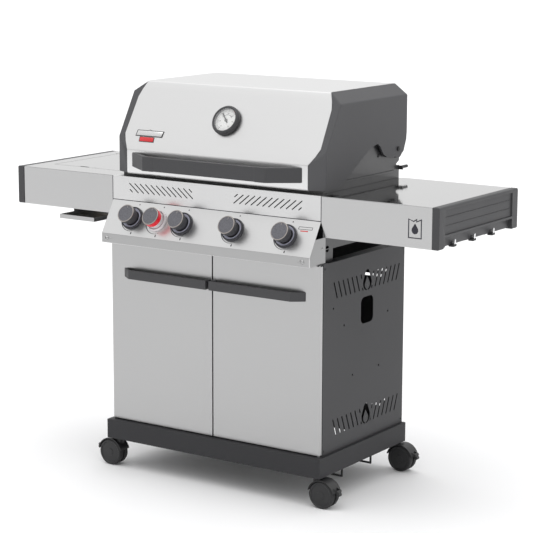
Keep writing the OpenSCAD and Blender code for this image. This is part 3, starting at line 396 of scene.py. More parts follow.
class Shape:
    """Collects the faces of one piece, in millimetres."""

    def __init__(self, at=Matrix.Identity(4)):
        self.bm = bmesh.new()
        self.at = at
        self.material = 0

    def _take(self, part, rounding=0.0, segments=2, angle=30):
        if rounding:
            edges = [e for e in part.edges
                     if len(e.link_faces) == 2 and e.calc_face_angle(0) > math.radians(angle)]
            bmesh.ops.bevel(part, geom=edges, offset=rounding, offset_type="OFFSET",
                            segments=segments, profile=0.5, affect="EDGES", clamp_overlap=True)
        for face in part.faces:
            face.material_index = self.material
            face.smooth = True
        bmesh.ops.transform(part, matrix=self.at, verts=part.verts)
        mesh = bpy.data.meshes.new("part")
        part.to_mesh(mesh)
        part.free()
        self.bm.from_mesh(mesh)
        bpy.data.meshes.remove(mesh)
        return self

    def block(self, low, high, rounding=0.0, segments=2):
        """A box between two corners, with rounded edges."""
        part = bmesh.new()
        bmesh.ops.create_cube(part, size=1)
        low, high = Vector(low), Vector(high)
        size = high - low
        bmesh.ops.transform(part, verts=part.verts, matrix=Matrix.Translation((low + high) / 2)
                            @ Matrix.Diagonal((*size, 1)))
        return self._take(part, rounding, segments)

    def prism(self, outline, low, high, axis="z", rounding=0.0, segments=2, angle=30):
        """An outline pushed along an axis. It is (x, y), (x, z) or (y, z) for z, y or x."""
        lift = {"z": lambda p, h: (p[0], p[1], h), "y": lambda p, h: (p[0], h, p[1]),
                "x": lambda p, h: (h, p[0], p[1])}[axis]
        part = bmesh.new()
        rings = [[part.verts.new(lift(p, h)) for p in outline] for h in (low, high)]
        count = len(outline)
        part.faces.new(rings[0])
        part.faces.new(rings[1])
        for i in range(count):
            j = (i + 1) % count
            part.faces.new((rings[0][i], rings[0][j], rings[1][j], rings[1][i]))
        bmesh.ops.recalc_face_normals(part, faces=part.faces)
        return self._take(part, rounding, segments, angle)

    def lathe(self, profile, sides=48, materials=None):
        """A profile of (radius, height) turned about the local z axis."""
        part = bmesh.new()
        rings = []
        for r, h in profile:
            if r < 1e-6:
                rings.append([part.verts.new((0, 0, h))])
            else:
                rings.append([part.verts.new((r * math.cos(2 * math.pi * k / sides),
                                              r * math.sin(2 * math.pi * k / sides), h))
                              for k in range(sides)])
        bands = []
        for band, (low, high) in enumerate(zip(rings, rings[1:])):
            for k in range(sides):
                j = (k + 1) % sides
                corners = [low[k % len(low)], low[j % len(low)], high[j % len(high)],
                           high[k % len(high)]]
                unique = list(dict.fromkeys(corners))
                if len(unique) > 2:
                    bands.append((part.faces.new(unique), band))
        bmesh.ops.recalc_face_normals(part, faces=part.faces)
        self._take(part)
        if materials:
            for face, (_, band) in zip(list(self.bm.faces)[-len(bands):], bands):
                face.material_index = materials[band]
        return self

    def tube(self, points, radius, sides=12, closed=False):
        """A round bar along points."""
        part = bmesh.new()
        points = [Vector(p) for p in points]
        count = len(points)
        rings = []
        side = None
        for i, point in enumerate(points):
            before = points[i - 1] if i or closed else point
            after = points[(i + 1) % count] if i < count - 1 or closed else point
            along = (after - before).normalized()
            if side is None:
                side = along.orthogonal().normalized()
            side = (side - along * side.dot(along)).normalized()
            up = along.cross(side)
            rings.append([part.verts.new(point + radius * (
                math.cos(2 * math.pi * k / sides) * side + math.sin(2 * math.pi * k / sides) * up))
                for k in range(sides)])
        pairs = list(zip(rings, rings[1:])) + ([(rings[-1], rings[0])] if closed else [])
        for low, high in pairs:
            for k in range(sides):
                j = (k + 1) % sides
                part.faces.new((low[k], low[j], high[j], high[k]))
        if not closed:
            part.faces.new(rings[0])
            part.faces.new(rings[-1])
        bmesh.ops.recalc_face_normals(part, faces=part.faces)
        return self._take(part)

    def frame_outer(self, node, rounding, segments=2):
        """The CAD node's own shape, with its outermost edges rounded where there is room."""
        part = bmesh.new()
        part.from_mesh(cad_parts[node].data)
        bmesh.ops.transform(part, matrix=TO_METRES.inverted(), verts=part.verts)
        bmesh.ops.remove_doubles(part, verts=part.verts, dist=0.002)
        bmesh.ops.dissolve_limit(part, angle_limit=math.radians(0.6), verts=part.verts,
                                 edges=part.edges, use_dissolve_boundaries=False)
        part.normal_update()
        points = [v.co.copy() for v in part.verts]
        outer = set()
        for face in part.faces:
            reach = face.normal.dot(face.verts[0].co)
            area = face.calc_area()
            wide_enough = area > rounding * face.calc_perimeter()
            if area > 60 and wide_enough and all(
                    face.normal.dot(p) < reach + 0.3 for p in points):
                outer.add(face)
        edges = [e for e in part.edges if len(e.link_faces) == 2
                 and all(face in outer for face in e.link_faces)
                 and e.calc_face_angle(0) > math.radians(12)]
        bmesh.ops.bevel(part, geom=edges, offset=rounding, offset_type="OFFSET",
                        segments=segments, profile=0.5, affect="EDGES", clamp_overlap=False)
        return self._take(part)

    def figures(self, text, place, size):
        """Raised figures, such as a dial's numbers, centred on a point."""
        curve = bpy.data.curves.new("figures", "FONT")
        curve.body = text
        curve.size = size
        curve.align_x = "CENTER"
        curve.align_y = "CENTER"
        curve.extrude = 0.06
        holder = bpy.data.objects.new("figures", curve)
        mesh = holder.to_mesh()
        part = bmesh.new()
        part.from_mesh(mesh)
        holder.to_mesh_clear()
        bpy.data.objects.remove(holder)
        bpy.data.curves.remove(curve)
        bmesh.ops.transform(part, matrix=Matrix.Translation(place), verts=part.verts)
        return self._take(part)

    def screw(self, place, normal, radius=4.5, height=2.5):
        """A domed screw head with a round recess."""
        was = self.at
        turn = Vector(normal).to_track_quat("Z", "Y").to_matrix().to_4x4()
        self.at = was @ Matrix.Translation(place) @ turn
        self.lathe([(0, height * 0.45), (radius * 0.36, height * 0.45), (radius * 0.42, height),
                    (radius * 0.75, height * 0.85), (radius, height * 0.3), (radius, -0.4)], 16)
        self.at = was
        return self

    def piece(self, name, body, slot, materials, replaces=(), sharp=35):
        """Makes the object, hides the CAD nodes it stands for and lets it ride on its body."""
        mesh = bpy.data.meshes.new(name)
        self.bm.normal_update()
        self.bm.to_mesh(mesh)
        self.bm.free()
        mesh.transform(TO_METRES)
        mesh.update()
        mesh.set_sharp_from_angle(angle=math.radians(sharp))
        for material in materials if isinstance(materials, (list, tuple)) else [materials]:
            mesh.materials.append(material)
        made = bpy.data.objects.new(name, mesh)
        bpy.context.scene.collection.objects.link(made)
        if replaces:
            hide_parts(*replaces)
        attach(made, body)
        return made


def weighted(piece):
    """Keeps large flats flat next to rounded edges."""
    modifier = piece.modifiers.new("flat faces", "WEIGHTED_NORMAL")
    modifier.keep_sharp = True
    return piece


def on_plane(x, y, z, up, out):
    """A matrix whose local x stays x, local y is up and local z is out."""
    side = Vector(up).cross(Vector(out))
    m = Matrix((side, up, out)).transposed().to_4x4()
    return Matrix.Translation((x, y, z)) @ m


def ink_frame(shape, outer, inner):
    """A flat printed line between two outlines with as many corners."""
    for i, corner in enumerate(outer):
        j = (i + 1) % len(outer)
        shape.prism([corner, outer[j], inner[j], inner[i]], 0, INK)


def red_plastic():
    return coated("badge_red", (0.62, 0.03, 0.035), 0.35, 900, 0.05, 0.0, 0.4)


def printed_ink():
    return coated("panel_ink", (0.03, 0.03, 0.04), 0.5, 900, 0.05)


def arc(cx, cy, r, start, end, steps):
    """Points of an arc, in degrees."""
    return [(cx + r * math.cos(math.radians(start + (end - start) * i / steps)),
             cy + r * math.sin(math.radians(start + (end - start) * i / steps)))
            for i in range(steps + 1)]


def panel_plane(x, along):
    """The control panel's face, at a distance down from its top edge."""
    s = props()[1]
    run, drop = s.tilt_run / MM, s.tilt_drop / MM
    span = math.hypot(run, drop)
    return on_plane(x, -run * along / span, VENT_Z - drop * along / span,
                    (0, run / span, drop / span), (0, -drop / span, run / span))


def lid_plane(x, along):
    """The lid's sloping face, at a distance down from its top edge."""
    s = props()[1]
    run, top = s.slope / MM, LID_HIGH.z
    drop = LID_HIGH.z - LID_LOW.z - s.crease / MM
    span = math.hypot(run, drop)
    return on_plane(x, LID_LOW.y + run - run * along / span, top - drop * along / span,
                    (0, run / span, drop / span), (0, -drop / span, run / span))


def sides():
    """The two sides: name, sign of x."""
    return (("left", -1), ("right", 1))


class BuildStep(bpy.types.Operator):
    """Shared base of the building operators."""
    bl_options = {"REGISTER", "UNDO"}

    def execute(self, context):
        self.build(*props())
        return {"FINISHED"}


# ------------------------------------------------------------------ lid
LID_BACK_EDGE = 24.5      # the back sheet's lower edge over the hinge's crease


def fillet(points, radius, steps=5):
    """A path of (y, z) whose inner corners are arcs; each point comes with its outward normal."""
    made = []
    for i, point in enumerate(points):
        here = Vector(point)
        if i in (0, len(points) - 1):
            other = Vector(points[1] if i == 0 else points[-2])
            along = (other - here if i == 0 else here - other).normalized()
            made.append((here, Vector((-along.y, along.x))))
            continue
        before = (Vector(points[i - 1]) - here).normalized()
        after = (Vector(points[i + 1]) - here).normalized()
        half = before.angle(after) / 2
        r = min(radius, 60 * math.tan(half))
        centre = here + (before + after).normalized() * r / math.sin(half)
        n0 = Vector((before.y, -before.x))
        n1 = Vector((-after.y, after.x))
        for k in range(steps + 1):
            n = n0.slerp(n1, k / steps)
            made.append((centre + n * r, n))
    return made


class BARBECUE_OT_lid_sheet(BuildStep):
    """Bends the lid's stainless sheet, with rounded creases and a hem"""
    bl_idname = "barbecue.lid_sheet"
    bl_label = "Lid sheet"

    def build(self, colours, sizes, stage):
        y0, y1 = LID_LOW.y, LID_HIGH.y
        z0, top = LID_LOW.z, LID_HIGH.z
        crease = z0 + sizes.crease / MM
        back_edge = crease + LID_BACK_EDGE + 5.5
        slope_y = y0 + sizes.slope / MM
        wide = LID_HIGH.x
        widths = [(z0 - 1, CASTING_HW - 45), (crease, CASTING_HW - 45), (crease + 37, wide),
                  (top - 38, wide - 4), (top, CASTING_HW - 42)]

        def half_width(z):
            for (za, wa), (zb, wb) in zip(widths, widths[1:]):
                if z <= zb:
                    return wa + (wb - wa) * (z - za) / (zb - za)
            return widths[-1][1]

        path = fillet([(y0 + 10, z0), (y0, z0), (y0, crease), (slope_y, top), (y1, top),
                       (y1, back_edge)], sizes.bend / MM)
        full = []
        for (p, n), (q, m) in zip(path, path[1:]):
            full.append((p, n))
            steps = max(1, round((q - p).length / 24))
            full += [(p.lerp(q, k / steps), n.lerp(m, k / steps)) for k in range(1, steps)]
        full.append(path[-1])
        part = bmesh.new()
        rows = []
        for p, n in full:
            w = half_width(p.y)
            inner = p - n.normalized() * 1.5
            rows.append([part.verts.new((x, q.x, q.y)) for q in (p, inner) for x in (-w, w)])
        for a, b in zip(rows, rows[1:]):
            part.faces.new((a[0], a[1], b[1], b[0]))
            part.faces.new((a[3], a[2], b[2], b[3]))
            part.faces.new((a[2], a[0], b[0], b[2]))
            part.faces.new((a[1], a[3], b[3], b[1]))
        part.faces.new((rows[0][0], rows[0][2], rows[0][3], rows[0][1]))
        part.faces.new((rows[-1][1], rows[-1][3], rows[-1][2], rows[-1][0]))
        bmesh.ops.recalc_face_normals(part, faces=part.faces)
        shape = Shape()
        shape._take(part)
        shape.piece("lid_sheet", "lid", "stainless", steel("lid"), ["lid_skin"])


class BARBECUE_OT_lid_castings(BuildStep):
    """Rounds the cast ends of the lid and adds their hinge caps and screws"""
    bl_idname = "barbecue.lid_castings"
    bl_label = "Lid castings"

    def build(self, colours, sizes, stage):
        for name, side in sides():
            shape = Shape()
            shape.frame_outer(f"lid_casting_{name}", sizes.casting_round / MM, 3)
            weighted(shape.piece(f"lid_end_{name}", "lid", "grey_paint", powder("casting"),
                                 [f"lid_casting_{name}"]))
            caps = Shape()
            hinge_z = box_mm("lid_pins")[1].z - 6.5
            hinge_y = box_mm("lid_casting_right")[1].y - 50
            caps.screw((side * (CASTING_HW + 1.5), hinge_y, hinge_z), (side, 0, 0), 6.5, 3)
            caps.screw((side * (CASTING_HW - 12.5), hinge_y - 88, hinge_z - 12), (side, 0, 0), 5, 3)
            caps.piece(f"lid_end_screws_{name}", "cart", "black_plastic", black())


class BARBECUE_OT_lid_handle(BuildStep):
    """Makes the lid's handle: a bar between two bent ends"""
    bl_idname = "barbecue.lid_handle"
    bl_label = "Lid handle"

    def build(self, colours, sizes, stage):
        low, high = box_mm("lid_handle")
        bar = CASTING_HW - 180
        end = CASTING_HW - 62
        face, wall = low.y, high.y
        thick = 14
        shape = Shape()
        shape.prism([(-bar - 4, face + 0.6), (bar + 4, face + 0.6), (bar + 4, face + thick - 0.6),
                     (-bar - 4, face + thick - 0.6)], low.z + 0.6, high.z - 0.6, "z", 2.2, 3)
        for side in (-1, 1):
            outline = [(side * x, y) for x, y in (
                (bar + 0.4, face), (bar + 36, face), (end, wall), (end - 20, wall),
                (bar + 30, face + thick), (bar + 0.4, face + thick))]
            shape.prism(outline, low.z, high.z, "z", 2.0, 3)
        weighted(shape.piece("lid_handle_bar", "lid", "grey_paint", trim(), ["lid_handle"]))


class BARBECUE_OT_thermometer(BuildStep):
    """Makes the thermometer: a dark bezel, a white dial with a scale, its needle and its glass"""
    bl_idname = "barbecue.thermometer"
    bl_label = "Thermometer"

    def build(self, colours, sizes, stage):
        low, high = box_mm("thermometer_case")
        run = sizes.slope / MM
        span = math.hypot(run, LID_HIGH.z - LID_LOW.z - sizes.crease / MM)
        plane = lid_plane((low.x + high.x) / 2, span / 2)
        case = Shape(plane)
        case.lathe([(30, 0.0), (40.5, 0.0), (42.9, 2.5), (43, 8), (42.2, 11.5), (40.2, 14.4),
                    (37.6, 15.9), (35.3, 15.6), (34.2, 14.4), (34.2, 8), (36, 5), (0, 5)], 72)
        case.lathe([(0, -60), (2.6, -60), (4, -57), (4, -9), (9, -9), (9, -2), (4, -1.6),
                    (0, -1.6)], 24)
        case.piece("thermometer_bezel", "lid", "stainless", trim(), ["thermometer_case"])
        dial = Shape(plane @ Matrix.Translation((0, 0, 5.1)))
        dial.lathe([(0, 0.5), (34.6, 0.5), (34.6, 0), (0, 0)], 64)
        dial.material = 1
        for k in range(31):
            angle = math.radians(235 - 290 * k / 30)
            big = k % 5 == 0
            inner, outer = (25.5 if big else 28.0), 31.0
            half = 0.5 if big else 0.25
            c, s = math.cos(angle), math.sin(angle)
            dial.prism([(inner * c - half * s, inner * s + half * c),
                        (outer * c - half * s, outer * s + half * c),
                        (outer * c + half * s, outer * s - half * c),
                        (inner * c + half * s, inner * s - half * c)], 0.4, 0.65)
        for k in range(7):
            angle = math.radians(235 - 290 * k / 6)
            dial.figures(str(50 + 50 * k), (21 * math.cos(angle), 21 * math.sin(angle), 0.5), 4.6)
        dial.prism(arc(0, 0, 18, 150, 30, 12) + arc(0, 0, 16.8, 30, 150, 12), 0.4, 0.62)
        dial.material = 2
        dial.prism(arc(0, 0, 33.2, 60, -55, 16) + arc(0, 0, 32, -55, 60, 16), 0.4, 0.66)
        white = coated("dial_white", (0.80, 0.80, 0.79), 0.4, 900, 0.05)
        ink = coated("dial_ink", (0.02, 0.02, 0.022), 0.5, 900, 0.05)
        red = coated("dial_red", (0.55, 0.02, 0.02), 0.5, 900, 0.05)
        dial.piece("thermometer_dial", "lid", "stainless", [white, ink, red])
        dress("thermometer_needle", ink)

        def clear(f):
            return {"Base Color": f.blend(f.noise(40), (0.96, 0.98, 0.98), (1, 1, 1)),
                    "Roughness": 0.03 + f.noise(25) * 0.03, "Alpha": 0.1}
        dress("thermometer_glass", finish("clear_glass", clear))


class BARBECUE_OT_badge(BuildStep):
    """Makes the plain two-part badge on the lid"""
    bl_idname = "barbecue.badge"
    bl_label = "Badge"

    def build(self, colours, sizes, stage):
        run = sizes.slope / MM
        span = math.hypot(run, LID_HIGH.z - LID_LOW.z - sizes.crease / MM)
        low, high = box_mm("lid_badge")
        plane = lid_plane((low.x + high.x) / 2, span - 45)
        plate = Shape(plane)
        rim = [(-48, -2), (-46, 17), (-9, 17), (-2, 19.4), (5, 17), (48, 17), (46, -2)]
        plate.prism(rim, 0, 1.3, rounding=0.4)
        plate.prism([(-30, -19), (-32, -3), (20, -3), (22, -19)], 0, 1.1, rounding=0.4)
        plate.material = 1
        plate.prism([(x * 0.94, 7.5 + (y - 7.5) * 0.78) for x, y in rim], 1.0, 1.7, rounding=0.3)
        plate.material = 2
        plate.prism([(-28, -17.4), (-29.4, -4.6), (18.4, -4.6), (20, -17.4)], 0.8, 1.5,
                    rounding=0.3)
        plate.piece("lid_plate", "lid", "grey_paint",
                    [trim(), steel("bright"), red_plastic()], ["lid_badge"])


# ------------------------------------------------------------------ front panels and knobs
class BARBECUE_OT_panels(BuildStep):
    """Dresses the slotted panel and makes the control panel with its marks, dark strips of painted
    shade over its seams, and screws
    """
    bl_idname = "barbecue.panels"
    bl_label = "Front panels"

    def build(self, colours, sizes, stage):
        dress("vent_panel", steel("vent"))
        panel = Shape()
        panel.frame_outer("control_panel", sizes.sheet_round / MM)
        # Painted shade: the lip facing front and the cheeks facing sideways get darker copies of
        # the panel's stainless.
        painted_light_by_facing(weighted(panel.piece(
            "control_panel_sheet", "cart", "stainless",
            [steel("panel"), steel("panel_foot"), steel("cheek")], ["control_panel"])),
            (1, (0, -1, 0)), (2, (1, 0, 0)), (2, (-1, 0, 0)))
        marks = Shape()
        radius = (box_mm("knob_bezels")[1].x - 3 * KNOB_PITCH)
        span = math.hypot(sizes.tilt_run, sizes.tilt_drop) / MM
        for step in KNOB_STEPS:
            marks.at = panel_plane(step * KNOB_PITCH, span / 2)
            outer = arc(0, 0, radius + 4.6, 175, 300, 22)
            inner = [(r * math.cos(math.radians(a)), r * math.sin(math.radians(a)))
                     for a, r in ((300 - 125 * i / 22, radius + 4.2 - 3.0 * i / 22)
                                  for i in range(23))]
            marks.prism(outer + inner, 0, INK)
            for x, y, h in ((8, 44, 4.0), (9, -43, 8.0)):
                marks.prism([(x - 1.4, y - h / 2), (x + 1.4, y - h / 2), (x + 1.9, y),
                             (x + 0.4, y + h / 2), (x - 1.9, y)], 0, INK)
        marks.at = Matrix.Identity(4)
        # Painted shade: thin strips in the marks' ink lie over the seams at the slotted panel's
        # sides and lower edge, standing in for the shade in the gaps.
        for side in (-1, 1):
            x0, x1 = sorted((side * (PANEL_HW - 0.5), side * (PANEL_HW + 1.6)))
            marks.block((x0, -0.25, VENT_Z - 2), (x1, 0.4, SHELF_Z - 1), 0, 1)
        marks.block((-PANEL_HW, -0.35, VENT_Z - 0.6), (PANEL_HW, 0.4, VENT_Z + 1.4), 0, 1)
        marks.at = panel_plane(PANEL_HW - 40, 24)
        ink_frame(marks, [(-22, -4), (-22, 4), (22, 5), (22, -3)],
                  [(-20.5, -2.7), (-20.5, 2.7), (20.5, 3.7), (20.5, -1.7)])
        marks.material = 1
        marks.prism([(-14, -9.4), (-14, -6.6), (10, -6.2), (10, -9)], 0, INK)
        marks.piece("panel_marks", "cart", "dark_trim", [printed_ink(), red_plastic()])
        screws = Shape()
        lip_z = (VENT_Z - sizes.tilt_drop / MM + box_mm("control_panel")[0].z) / 2
        face = box_mm("control_panel")[0].y
        for x in (-PANEL_HW + 18, PANEL_HW - 24):
            screws.screw((x, face, lip_z), (0, -1, 0), 6.5, 3.6)
        for x in (-PANEL_HW + 32, PANEL_HW - 34):
            screws.screw((x, face, lip_z), (0, -1, 0), 3, 1.4)
        for side in (-1, 1):
            screws.screw((side * PANEL_HW, 8, lip_z + 30), (side, 0, 0), 3.2, 1.4)
        screws.piece("panel_screws", "cart", "stainless", steel("door"))


class BARBECUE_OT_knobs(BuildStep):
    """Makes the five knobs and their ringed bezels; the second one is lit"""
    bl_idname = "barbecue.knobs"
    bl_label = "Knobs"

    def build(self, colours, sizes, stage):
        span = math.hypot(sizes.tilt_run, sizes.tilt_drop) / MM

        def leather(f):
            rgb = tuple(colours.knob)
            cells = f.node("ShaderNodeTexVoronoi", {"feature": "DISTANCE_TO_EDGE"},
                           {"Vector": f.place(), "Scale": 520.0}, "Distance")
            return {"Base Color": f.blend(f.noise(380, 3), scaled(rgb, 0.35), scaled(rgb, 1.6)),
                    "Metallic": 0.25, "Roughness": 0.5, "Normal": f.bump(cells, 0.6, 0.0006)}
        face = finish("knob_textured_face", leather)
        rim = coated("knob_rim", (0.36, 0.33, 0.31), 0.35, 900, 0.05, 0.6)
        body = coated("knob_dark_body", (0.055, 0.055, 0.06), 0.38, 1200, 0.12)
        base = coated("bezel_dark", (0.045, 0.045, 0.052), 0.3, 1200, 0.08, 0.2)
        ring = coated("bezel_ring", tuple(colours.ring), 0.35, 900, 0.04)

        def glow(f):
            rgb = tuple(colours.lit)
            return {"Base Color": f.blend(f.noise(80), scaled(rgb, 0.9), rgb), "Roughness": 0.35,
                    "Emission Color": (*rgb, 1.0), "Emission Strength": 0.3}
        lit = finish("lit_red_ring", glow)

        def milky(f):
            return {"Base Color": f.blend(f.noise(60), (0.62, 0.58, 0.60), (0.70, 0.67, 0.68)),
                    "Roughness": 0.25, "Coat Weight": 0.3,
                    "Emission Color": (0.9, 0.55, 0.55, 1.0), "Emission Strength": 0.03}
        milk = finish("milky_base", milky)
        wide = (box_mm("knob_5")[1].x - box_mm("knob_5")[0].x) / 2
        for number, step in enumerate(KNOB_STEPS, 1):
            plane = panel_plane(step * KNOB_PITCH, span / 2)
            knob = Shape(plane)
            lit_one = number == LIT_KNOB
            foot = wide - (1 if lit_one else 5.5)
            knob.lathe([(0, 38.7), (wide - 3.3, 38.8), (wide - 2.6, 39.4), (wide - 1.9, 39.9),
                        (wide - 0.9, 39.6), (wide - 0.1, 38.6), (wide, 37.2), (wide - 0.3, 31),
                        (wide - (0.6 if lit_one else 2), 21), (foot, 12), (foot - 0.4, 7.4),
                        (foot - 1.4, 7.05), (0, 7.05)], 72,
                       [0, 0, 1, 1, 1, 2, 3, 3, 4, 4, 4, 4] if lit_one
                       else [0, 0, 1, 1, 1] + [2] * 7)
            knob.material = 2
            if not lit_one:
                for k in range(44):
                    knob.at = plane @ Matrix.Rotation(2 * math.pi * k / 44, 4, "Z")
                    knob.block((wide - 1.6, -0.5, 24), (wide - 0.25, 0.5, 35), 0.2, 1)
            knob.at = plane
            knob.material = 1
            knob.prism([(-0.7, 17), (-0.7, 22.4), (0.7, 22.4), (0.7, 17)], 38.7, 39.1)
            knob.piece(f"knob_grip_{number}", f"knob_{number}", "knob_face",
                       [face, rim, body, lit, milk], [f"knob_{number}"])
            dress(f"knob_stem_{number}", brass())
        outer = Shape()
        rim_r = (box_mm("knob_bezels")[1].x - 3 * KNOB_PITCH)
        for number, step in enumerate(KNOB_STEPS, 1):
            outer.at = panel_plane(step * KNOB_PITCH, span / 2)
            if number == LIT_KNOB:
                outer.lathe([(7, 0.02), (30.4, 0.02), (31.2, 1), (31.2, 4), (30.4, 7), (28.8, 8.6),
                             (27.9, 8.4), (27.4, 6), (27, 2.1), (7, 2.0), (7, 0.02)], 72, [3] * 10)
                continue
            outer.lathe([(7, 0.02), (rim_r - 1.4, 0.02), (rim_r - 0.2, 0.8), (rim_r, 2),
                         (rim_r - 0.3, 5.6), (rim_r - 1.4, 8.2), (rim_r - 3, 9), (rim_r - 3.9, 8.7),
                         (rim_r - 5, 7.6), (rim_r - 10.6, 4.6), (rim_r - 11.4, 2.1), (7, 2.0),
                         (7, 0.02)], 72, [0] * 8 + [1] * 2 + [0] * 2)
        outer.piece("knob_rings", "cart", "bezel", [base, ring, lit, milk], ["knob_bezels"])


# ------------------------------------------------------------------ cart
class BARBECUE_OT_doors(BuildStep):
    """Rounds the doors' sheets and makes their flat handles"""
    bl_idname = "barbecue.doors"
    bl_label = "Doors"

    def build(self, colours, sizes, stage):
        for name, side in sides():
            door = Shape()
            door.frame_outer(f"door_{name}", 1.8, 3)
            # Painted shade: the doors take the darker door copy of the stainless.
            weighted(door.piece(f"door_sheet_{name}", f"{name}_door", "stainless", steel("door"),
                                [f"door_{name}"]))
            low, high = box_mm(f"door_handle_{name}")
            y0, wall = low.y, high.y
            far = max(abs(low.x), abs(high.x)) - 34
            outline = [(side * x, y) for x, y in (
                (5, y0), (far, y0), (far + 34, wall), (far + 22, wall), (far - 4, y0 + 7),
                (17, y0 + 7), (17, wall), (5, wall))]
            grip = Shape()
            grip.prism(outline, low.z, high.z, "z", 1.3, 3, 25)
            weighted(grip.piece(f"door_grip_{name}", f"{name}_door", "grey_paint", trim(),
                                [f"door_handle_{name}"]))


class BARBECUE_OT_cabinet(BuildStep):
    """Finishes the base, the cabinet's sheets and the bottle's cradle"""
    bl_idname = "barbecue.cabinet"
    bl_label = "Cabinet"

    def build(self, colours, sizes, stage):
        base = Shape()
        base.frame_outer("base_frame", 1.8, 3)
        weighted(base.piece("base_pan", "cart", "grey_paint", powder("base"), ["base_frame"]))
        for node in ("cabinet_side_left", "cabinet_side_right", "cabinet_back", "front_frame"):
            dress(node, powder())
        dress("bottle_cradle", coated("black_wire_coat", (0.02, 0.02, 0.021), 0.35))
        low, high = box_mm("cabinet_side_right")
        back = box_mm("cabinet_back")[1].y
        rims = Shape()
        for side in (-1, 1):
            for y, z in ((low.y + 8, low.z + 12), (high.y - 8, low.z + 12),
                         (low.y + 8, high.z - 14), (high.y - 8, high.z - 14)):
                rims.screw((side * high.x, y, z), (side, 0, 0), 3.2, 1.2)
        for x in (-320, -160, 0, 160, 320):
            rims.screw((x, back, high.z - 12), (0, 1, 0), 3.2, 1.2)
            rims.screw((x, back, low.z + 14), (0, 1, 0), 3.2, 1.2)
        rims.piece("cabinet_screws", "cart", "grey_paint", black())


class BARBECUE_OT_firebox(BuildStep):
    """Finishes the firebox, burners, covers, grates, rack, tray and gas rail"""
    bl_idname = "barbecue.firebox"
    bl_label = "Firebox and burners"

    def build(self, colours, sizes, stage):
        dress("firebox", enamel())
        dress("burners", brushed("burner_tube_steel", (0.50, 0.48, 0.46), 0.38, "y"))
        dress("flame_covers", brushed("flame_cover_steel", (0.46, 0.44, 0.42), 0.42, "y"))
        dress("cooking_grates", iron())
        dress("warming_rack", chrome())
        dress("grease_tray", zinc())
        dress("gas_manifold", brass())
        dress("lid_pins", coated("black_pins", (0.02, 0.02, 0.021), 0.35))


# ------------------------------------------------------------------ shelves
class BARBECUE_OT_shelves(BuildStep):
    """Rounds the side shelves and makes their ribbed end caps, hooks and plain marks"""
    bl_idname = "barbecue.shelves"
    bl_label = "Side shelves"

    def build(self, colours, sizes, stage):
        for name, side in sides():
            shelf = Shape()
            shelf.frame_outer(f"shelf_{name}", 2.2, 3)
            # Painted light: the shelf's front faces get a lighter, less glossy copy of the shelf's
            # stainless than its top.
            painted_light_by_facing(weighted(shelf.piece(
                f"shelf_sheet_{name}", "cart", "stainless", [steel("shelf"), steel("shelf_front")],
                [f"shelf_{name}"])), (1, (0, -1, 0)))
            low, high = box_mm(f"shelf_cap_{name}")
            cap = Shape()
            cap.frame_outer(f"shelf_cap_{name}", 1.6, 2)
            x0, x1 = sorted((side * 705.9, side * 707.6))
            for z, h in ((high.z - 30, 1.6), (high.z - 52, 1.6)):
                cap.block((x0, low.y + 34, z), (x1, high.y - 34, z + h), 0.6, 1)
            weighted(cap.piece(f"shelf_end_{name}", "cart", "dark_trim", trim(),
                               [f"shelf_cap_{name}"]))
        low, high = box_mm("tool_hooks")
        bases, wires = Shape(), Shape()
        foot = box_mm("shelf_cap_right")[0].z + 5
        for k in range(3):
            y = low.y + 9 + (high.y - low.y - 18) * k / 2
            bases.block((high.x - 17.4, y - 9, foot - 7), (high.x - 1.4, y + 9, foot), 2, 3)
            bases.block((high.x - 13, y - 6, foot - 1), (high.x - 9.2, y + 6, foot + 7), 1.2, 2)
            x = high.x - 2.4
            wires.tube([(x - 5, y, foot - 1.5), (x - 2, y, foot - 1), (x - 0.4, y, foot + 1.5),
                        (x, y, foot + 5), (x, y, foot + 11)], 2.2, 14)
            wires.at = Matrix.Translation((x, y, foot + 11))
            wires.lathe([(0, 2.6), (1.4, 2.2), (2.25, 1.3), (2.4, 0), (2.3, -3), (0, -3)], 18)
            wires.at = Matrix.Identity(4)
        bases.piece("hook_bases", "cart", "black_plastic", black(), ["tool_hooks"])
        wires.piece("hook_wires", "cart", "wire", chrome())
        mark = Shape(on_plane(638, 0, SHELF_Z - 57, (0, 0, 1), (0, -1, 0))
                     @ Matrix.Diagonal((1.55, 1.42, 1, 1)))
        ink_frame(mark, [(-13, -20), (13, -20), (13, 17), (4, 12.5), (4, 17), (-3, 12.5),
                         (-13, 16)],
                  [(-11, -18), (11, -18), (11, 13.8), (2.2, 9.6), (2.2, 13.6), (-2.4, 10.2),
                   (-11, 14.1)])
        mark.prism([(0, 8), (-6, -2), (-6.4, -6), (-4, -10.6), (0, -12), (4, -10.6),
                    (6.4, -6), (6, -2)], 0, INK)
        mark.piece("shelf_mark", "cart", "dark_trim", printed_ink())


class BARBECUE_OT_side_burner(BuildStep):
    """Finishes the side burner's cover, bowl, burner and drip tray"""
    bl_idname = "barbecue.side_burner"
    bl_label = "Side burner"

    def build(self, colours, sizes, stage):
        dress("side_burner_cover", steel("shelf"))
        dress("side_burner_pan", brushed("pan_steel", (0.52, 0.52, 0.51), 0.35, "x"))
        dress("side_burner_head", iron())
        dress("drip_tray", steel("door"))


